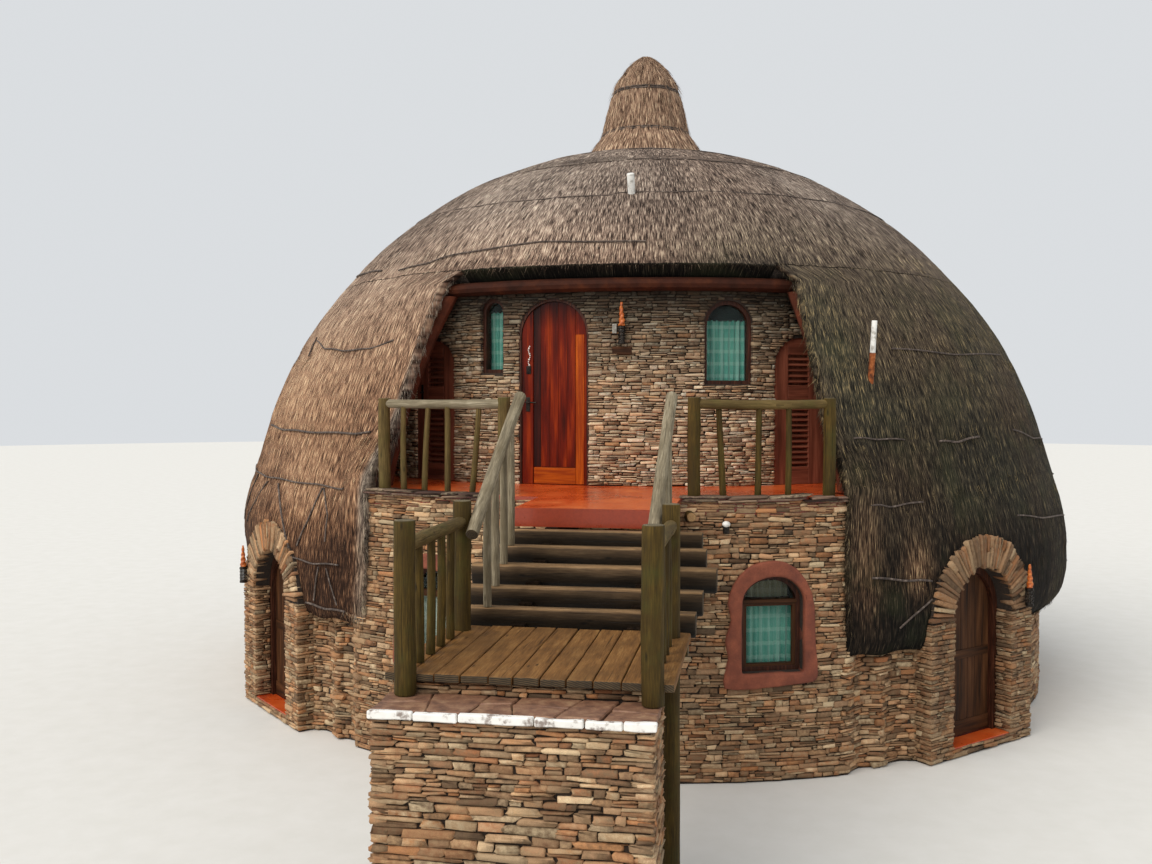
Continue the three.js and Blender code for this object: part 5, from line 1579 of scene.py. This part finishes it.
mahogany = polished_finish("polished_mahogany", "2d0600", "641500", "9e3804", 0.35)
bright_mahogany = polished_finish("bright_mahogany", "8a3406", "cc6410", "f29a30", 0.35, 0.7)
dark_mahogany = polished_finish("dark_mahogany", "150503", "34100a", "5a2012", 0.4)
service_mahogany = polished_finish("service_door_mahogany", "1c0f07", "442814", "664228", 0.6)
# Painted light: the louvred doors' wood is made lighter, to make up for the deep shade of their recess.
louvre_wood = polished_finish("louvre_door_wood", "4a261a", "7a4331", "a06048", 0.6)
refinish(streaked(
    "dark_frame_wood", 0.5, (1, 5, (60, 60, 5)), (0.002, 0.7), (0.3, "1c0e08"), (0.55, "3f2115"), (0.8, "673b26"),
    Specular_IOR_Level=0.2,
), "_frame", "_sash")
black_iron = streaked("black_iron", 0.45, (30, 5), (0.002, 0.6), (0.35, "141210"), (0.7, "3a332d"), Metallic=0.8)
white_bead = streaked("white_bead", 0.4, (120, 3), (0.001, 0.5), (0.3, "c9c2b4"), (0.6, "efece4"))


def show_iron(name, shape, body="house", **rest):
    return show(name, shape, black_iron, black_iron, slot="lantern_iron", body=body, **rest)


def show_boards(name, shape, front=service_mahogany, back=dark_mahogany, slot="mahogany", **rest):
    return show(name, shape, front, back, slot=slot, **rest)


# %% Main door
MAIN_AT, LEAF_BACK = turn(MAIN_DOOR), -4.34


def main_board(front, back=LEAF_BACK, half=0.4, axis=2, **cut):
    """A board of the leaf: a slice of its arch, with the grain along an axis."""
    panel = arch_panel(half, 2.932, MAIN_SPRING, half, front, back)
    return flat_grain(slice_of(panel, **cut) if cut else panel, axis)


STILES, ABOVE_RAIL = ((-0.4, -0.262), (0.372, 0.4)), (3.14, 5.2)
leaf = [main_board(-4.345, -4.31, 0.4045), *(main_board(-4.366, x=x) for x in STILES)]
# Painted shade: the recessed board beside the left stile takes the dark finish, for the shade in its recess.
leaf.append(main_board(-4.349, x=(-0.26, -0.17), z=ABOVE_RAIL))
for face in leaf[-1].faces:
    face.material_index = 1
for left in np.linspace(-0.162, 0.262, 5)[:-1]:
    leaf.append(main_board(-4.355, x=(left + 0.0008, left + 0.1052), z=ABOVE_RAIL, bevel=0.0015))
show_boards("main_door_leaf", joined(*leaf, at=MAIN_AT), mahogany, stands_for=["main_door_leaf"])
# Painted highlight on the right stile: its bright finish stands for the vertical highlight on the glossy leaf.
bright = joined(
    main_board(-4.364, x=(0.267, 0.369), z=(2.94, 4.69)),
    main_board(-4.362, axis=0, x=(-0.255, 0.265), z=(2.94, 3.13)), at=MAIN_AT,
)
show_boards("main_door_bright_rails", bright, bright_mahogany, bright_mahogany)

# %% Door furniture
show_iron("main_door_furniture", joined(
    box((-0.345, -4.376, 4.235), (-0.285, -4.366, 4.33), 0.004),
    box((-0.35, -4.374, 3.79), (-0.3, -4.366, 3.96), 0.004),
    peg((-0.326, -4.44, 3.9), (-0.326, -4.366, 3.9), 0.011),
    peg((-0.326, -4.43, 3.9), (-0.2, -4.43, 3.895), 0.011, 0.009, rings=3, bend=0.004), at=MAIN_AT,
))
beads = bmesh.new()
for down in range(11):
    bead = bmesh.new()
    ops.create_icosphere(bead, subdivisions=2, radius=0.008 + 0.003 * (down % 3 == 0))
    join(beads, bead, MAIN_AT @ Matrix.Translation((-0.305 - 0.01 * math.sin(down), -4.379, 4.34 + 0.022 * down)))
show("door_bead_string", beads, white_bead, slot="lantern_iron", smooth=True)

# %% Louvred doors
SLATS = (-0.15, 0.13)


def louvred_door(side, azimuth, knob):
    at = turn(azimuth)
    arch = lambda front, back: arch_panel(0.349, 2.931, SERVICE_SPRING, 0.349, front, back)
    parts = [flat_grain(arch(-4.33, -4.312), 2)]
    rails = [(SLATS, (4.46, 4.7)), (SLATS, (3.93, 4.1)), (SLATS, (2.93, 3.14))]
    for x, z in (((-0.349, -0.15), None), ((0.13, 0.349), None), *rails):
        parts.append(flat_grain(slice_of(arch(-4.38, -4.33), x=x, z=z, bevel=0.004), 0 if z else 2))
    for low, high, count in ((4.12, 4.45, 5), (3.16, 3.92, 12)):
        for z in np.linspace(low, high, count, endpoint=False):
            slat = board((-0.15, -0.026, -0.006), (0.13, 0.026, 0.006), 0, 0.002)
            slat.transform(Matrix.Translation((0, -4.357, z + 0.03)) @ Matrix.Rotation(math.radians(38), 4, "X"))
            parts.append(slat)
    name = "louvred_door_" + side
    show_boards(name, joined(*parts, at=at), louvre_wood, stands_for=[name])
    plate = box((knob - 0.018, -4.39, 3.93), (knob + 0.018, -4.38, 4.12), 0.003)
    show_iron(name + "_handle", joined(plate, peg((knob, -4.42, 4.02), (knob, -4.38, 4.02), 0.014, 0.02), at=at))


louvred_door("left", -SERVICE_DOOR, -0.25)
louvred_door("right", SERVICE_DOOR, 0.25)

# %% Ground doors
refinish(streaked(
    "ground_door_wood", 0.5, (1, 5, (50, 50, 4)), (0.002, 0.7), (0.3, "2b0e09"), (0.6, "5c2016"), (0.8, "7a2f22"),
), "left_door_leaf", "right_door_leaf")


def ground_door(name, side):
    at, knob = turn(side * GROUND_DOOR), -side * 0.4
    boards = []
    for left in np.linspace(-0.462, 0.462, 8)[:-1]:
        panel = arch_panel(0.462, 0.13, DOOR_SPRING, 0.462, -5.748, -5.739)
        boards.append(flat_grain(slice_of(panel, x=(left + 0.0015, left + 0.1305)), 2))
    show_boards(name + "_boards", joined(*boards, at=at), body=name)
    rails = joined(
        board((-0.455, -5.758, 0.14), (0.455, -5.747, 0.3), 0),
        board((-0.44, -5.758, 1.0), (0.44, -5.747, 1.1), 0), at=at,
    )
    show_boards(name + "_rails", rails, body=name)
    handle = joined(
        box((knob - 0.02, -5.766, 0.98), (knob + 0.02, -5.757, 1.16), 0.003),
        peg((knob, -5.8, 1.08), (knob, -5.758, 1.08), 0.01),
        peg((knob, -5.795, 1.08), (-side * 0.28, -5.795, 1.075), 0.01, 0.008, rings=2, bend=0.003), at=at,
    )
    show_iron(name + "_handle", handle, body=name)
    sill = roughen(box((-0.55, -5.99, 0.095), (0.55, -5.75, 0.118), 0.006, cuts=6), 0.003)
    show(name + "_threshold", joined(sill, at=at), red_concrete, slot="red_concrete")


ground_door("left_door", -1)
ground_door("right_door", 1)

# %% [markdown]
# ## Windows and curtains
# The sashes and panes are CAD nodes with better finishes. A transom and an inner casement are added at the
# ground windows. Behind each pane hangs a gathered curtain: a grid whose width runs in pleats, so the flat
# cloth it was cut from is as wide as the length of that wavy line.

# %% Glass and casements
refinish(streaked("window_glass", 0.06, (3, 3), None, (0.3, "33413f"), (0.7, "4b5c58"), Alpha=0.16), "_glass")
for side, azimuth in GROUND_WINDOWS.items():
    casement = joined(
        board((-0.29, -5.868, 1.83), (0.29, -5.795, 1.868), 0),
        board((-0.282, -5.85, 1.173), (-0.247, -5.8, 1.832), 2),
        board((0.247, -5.85, 1.173), (0.282, -5.8, 1.832), 2),
        board((-0.25, -5.85, 1.173), (0.25, -5.8, 1.205), 0),
        board((-0.25, -5.85, 1.8), (0.25, -5.8, 1.832), 0), at=turn(azimuth),
    )
    show_boards(f"ground_window_{side}_casement", casement, slot="dark_timber")


# %% Curtains
def cloth_finish(name, base, light, check):
    finish = Finish(name, 0.9, Sheen_Weight=0.3)
    weave = finish.map("weave")
    colour = finish.ramp(finish.noise(1, 3, (9, 2, 1), weave), (0.3, base), (0.7, light))
    for turned in (0, math.pi / 2):
        line = finish.add("Mapping", Vector=weave, Rotation=(0, 0, turned)).outputs["Vector"]
        bands = finish.add("TexWave", Vector=line, Scale=2.2, Distortion=0).outputs["Fac"]
        colour = finish.mix(finish.scaled(finish.ramp(bands, (0.75, 0.0), (0.85, 1.0)), 0.35), colour, check)
    finish.bump(finish.noise(1, 2, (500, 500, 1), weave), 0.0006, 0.5)
    return finish.done(colour)


def curtain(name, azimuth, half, low, high, depth, folds, finish):
    rod_name, rod_end, rod_z = name + "_rod", half + 0.012, high - 0.004
    rod_piece = peg((-rod_end, depth, rod_z), (rod_end, depth, rod_z), 0.006, rings=4, sides=10)
    show_iron(rod_name, joined(rod_piece, at=turn(azimuth)), smooth=True)
    bm = bmesh.new()
    weave = bm.loops.layers.uv.new("weave")
    columns, rows, deep = folds * 10, 18, 0.016
    ops.create_grid(bm, x_segments=columns, y_segments=rows, size=0.5)
    line = np.linspace(0, 1, columns * 8 + 1)
    wave = lambda share: deep * np.sin(2 * math.pi * folds * share) * (1 + 0.3 * np.sin(share * 9))
    flat_width = float(np.hypot(np.diff(line * 2 * half), np.diff(wave(line))).sum())
    for face in bm.faces:
        for loop in face.loops:
            loop[weave].uv = ((loop.vert.co.x + 0.5) * flat_width, (loop.vert.co.y + 0.5) * (high - low))
    for vertex in bm.verts:
        u, v = vertex.co.x + 0.5, vertex.co.y + 0.5
        sway = 0.004 * math.sin(4 * v + 9 * u)
        y = depth + float(wave(u)) * (0.8 + 0.2 * (1 - v)) + sway
        vertex.co = ((2 * u - 1) * half, y, low + (high - low) * v)
    bm.transform(turn(azimuth))
    piece = show(name, bm, finish, slot="window_glass", smooth=True)
    print(name, "cut", round(flat_width, 2), "by", round(high - low, 2), "m")


LEFT_WINDOW, RIGHT_WINDOW = GROUND_WINDOWS.values()
teal_cloth = cloth_finish("teal_checked_cloth", "38a08c", "76c8b2", "bce6d6")
pale_cloth = cloth_finish("pale_green_cloth", "8fa596", "c3cfc2", "dfe6da")
olive_cloth = cloth_finish("olive_grey_cloth", "7a7a58", "9c9b76", "aaa888")
curtain("ground_window_right_curtain", RIGHT_WINDOW, 0.29, 1.17, 1.845, -5.72, 9, teal_cloth)
curtain("ground_window_left_curtain", LEFT_WINDOW, 0.29, 1.17, 1.845, -5.72, 9, pale_cloth)
curtain("ground_window_right_upper_curtain", RIGHT_WINDOW, 0.26, 1.86, 2.04, -5.66, 8, olive_cloth)
curtain("upper_window_left_curtain", -UPPER_WINDOW, 0.14, 4.29, 4.99, -4.2, 5, teal_cloth)
curtain("upper_window_right_curtain", UPPER_WINDOW, 0.26, 4.14, 4.86, -4.2, 8, teal_cloth)

# %% [markdown]
# ## Lanterns and small fittings
# Each lantern is a twisted horn over a small iron cage with a glass in it. The horn is a cone whose rings are
# turned a little more with every step, with ridges that follow the twist.

# %% Lanterns
HORN_LENGTH, HORN_TWIST = 0.27, 13
orange_horn = streaked(
    "orange_horn", 0.45, (1, 4, (14, 14, 40)), (0.003, 0.7), (0.3, "6e2c0c"), (0.5, "b0561a"), (0.75, "e08e42"),
)
smoked_glass = streaked("smoked_lamp_glass", 0.2, (20, 4), None, (0.3, "1a1613"), (0.7, "4a4036"), Alpha=0.6)


def lantern(name, azimuth, across, back, middle):
    at = turn(azimuth) @ Matrix.Translation((across, back - 0.085, middle))
    horn = bmesh.new()
    ops.create_cone(horn, cap_ends=True, segments=20, radius1=0.037, radius2=0.012, depth=HORN_LENGTH)
    ops.subdivide_edges(horn, edges=edges_along(horn, 2, 0.1), cuts=32)
    for vertex in horn.verts:
        share = vertex.co.z / HORN_LENGTH + 0.5
        angle = math.atan2(vertex.co.y, vertex.co.x)
        ridge = 1 + 0.17 * math.cos(2 * (angle - HORN_TWIST * share))
        radius = math.hypot(vertex.co.x, vertex.co.y) * ridge
        drift = 0.004 * math.sin(6 * share)
        vertex.co = (radius * math.cos(angle) + drift, radius * math.sin(angle), share * HORN_LENGTH)
    horn.transform(at)
    show(name + "_horn", horn, orange_horn, slot="lantern_iron", smooth=True)
    parts = [peg((0, 0, z), (0, 0, z + 0.03), 0.048, 0.044, sides=16) for z in (-0.21, -0.035)]
    for corner in range(4):
        a = math.pi / 4 + corner * math.pi / 2
        x, y = 0.041 * math.cos(a), 0.041 * math.sin(a)
        parts.append(peg((x, y, -0.19), (x, y, -0.02), 0.005, rings=2, sides=8))
    for z in (-0.15, -0.11, -0.07):
        ring = bmesh.new()
        rod(ring, [(0.045 * math.cos(a), 0.045 * math.sin(a), z) for a in np.linspace(0, math.tau, 17)], 0.0035)
        parts.append(ring)
    parts.append(box((-0.013, 0, -0.02), (0.013, 0.085, 0.006), 0.002))
    parts.append(box((-0.036, 0.068, -0.07), (0.036, 0.084, 0.06), 0.004))
    show_iron(name, joined(*parts, at=at), stands_for=[name])
    pane = joined(peg((0, 0, -0.19), (0, 0, -0.03), 0.034, rings=2, sides=16), at=at)
    show(name + "_pane", pane, smoked_glass, smoked_glass, slot="window_glass", smooth=True)


lantern("veranda_lantern", 2.5, 0, -4.396, 4.78)
lantern("left_door_lantern", -GROUND_DOOR, -0.77, -5.985, 1.77)
lantern("right_door_lantern", GROUND_DOOR, 0.77, -5.985, 1.77)

# %% Bare plate, wall box, bulkhead light, log end and vents
BULKHEAD = turn(13.9)
white_metal = streaked(
    "white_cover", 0.5, (14, 5), (0.002, 0.5), (0.35, "a8a39a"), (0.5, "e4e2dc"), (0.8, "f2f1ec"),
)
# Painted shade: the wall box is a white cover given a grey finish, for the shade it stands in.
shaded_white_metal = streaked(
    "shaded_white_cover", 0.6, (30, 5), (0.002, 0.5), (0.35, "75736a"), (0.5, "9b988d"), (0.8, "b3b0a5"),
)
rust_metal = streaked(
    "rusty_pipe", 0.8, (16, 6), (0.003, 0.7), (0.35, "4a2412"), (0.55, "9a5426"), (0.75, "c98a56"), Metallic=0.3,
)
plate = flat_grain(roughen(box((-0.115, -4.435, 4.452), (0.115, -4.41, 4.545), 0.006, cuts=6), 0.003), 0)
show_boards("bare_plate", joined(plate, at=turn(2.5)), slot="dark_timber")
cover_box = roughen(box((-0.026, -4.448, 4.695), (0.026, -4.405, 4.805), 0.006, cuts=4), 0.002)
show("wall_box", joined(cover_box, at=turn(1.4)), shaded_white_metal, slot="lantern_iron")

light = bmesh.new()
ops.create_uvsphere(light, u_segments=20, v_segments=12, radius=0.042)
ops.scale(light, vec=(1, 0.9, 0.75), verts=light.verts)
ops.translate(light, vec=(0, -5.985, 2.67), verts=light.verts)
light.transform(BULKHEAD)
show("bulkhead_light", light, white_metal, slot="window_glass", smooth=True)
holder = joined(box((-0.032, -5.995, 2.57), (0.032, -5.93, 2.645), 0.008), at=BULKHEAD)
show("bulkhead_light_base", holder, black_iron, slot="lantern_iron")
stub = peg((1.06, -5.85, 2.76), (1.1, -6.02, 2.755), 0.05, 0.048, rings=2, sides=14)
show("log_end_in_wall", stub, olive_log, tan_end, slot="brown_log", smooth=True)
vents = joined(
    peg((0.2, -3.5, 6.36), (0.2, -3.66, 6.68), 0.045, rings=2, sides=16),
    peg((2.985, -4.555, 4.45), (3.0, -4.58, 4.8), 0.031, rings=3, sides=16),
    peg((2.965, -4.52, 4.08), (2.985, -4.555, 4.45), 0.033, rings=3, sides=16, bark=2),
)
show("roof_vents", vents, white_metal, white_metal, rust_metal, slot="window_glass", smooth=True)

floor = bmesh.new()
ops.create_circle(floor, cap_ends=True, segments=96, radius=90)
floor_piece = bpy.data.objects.new("studio_floor", mesh_from("studio_floor", floor))
floor_piece.data.materials.append(streaked("pale_floor", 0.9, (3, 3), None, (0.3, "d8d6d0"), (0.7, "dddbd6")))
scene.collection.objects.link(floor_piece)
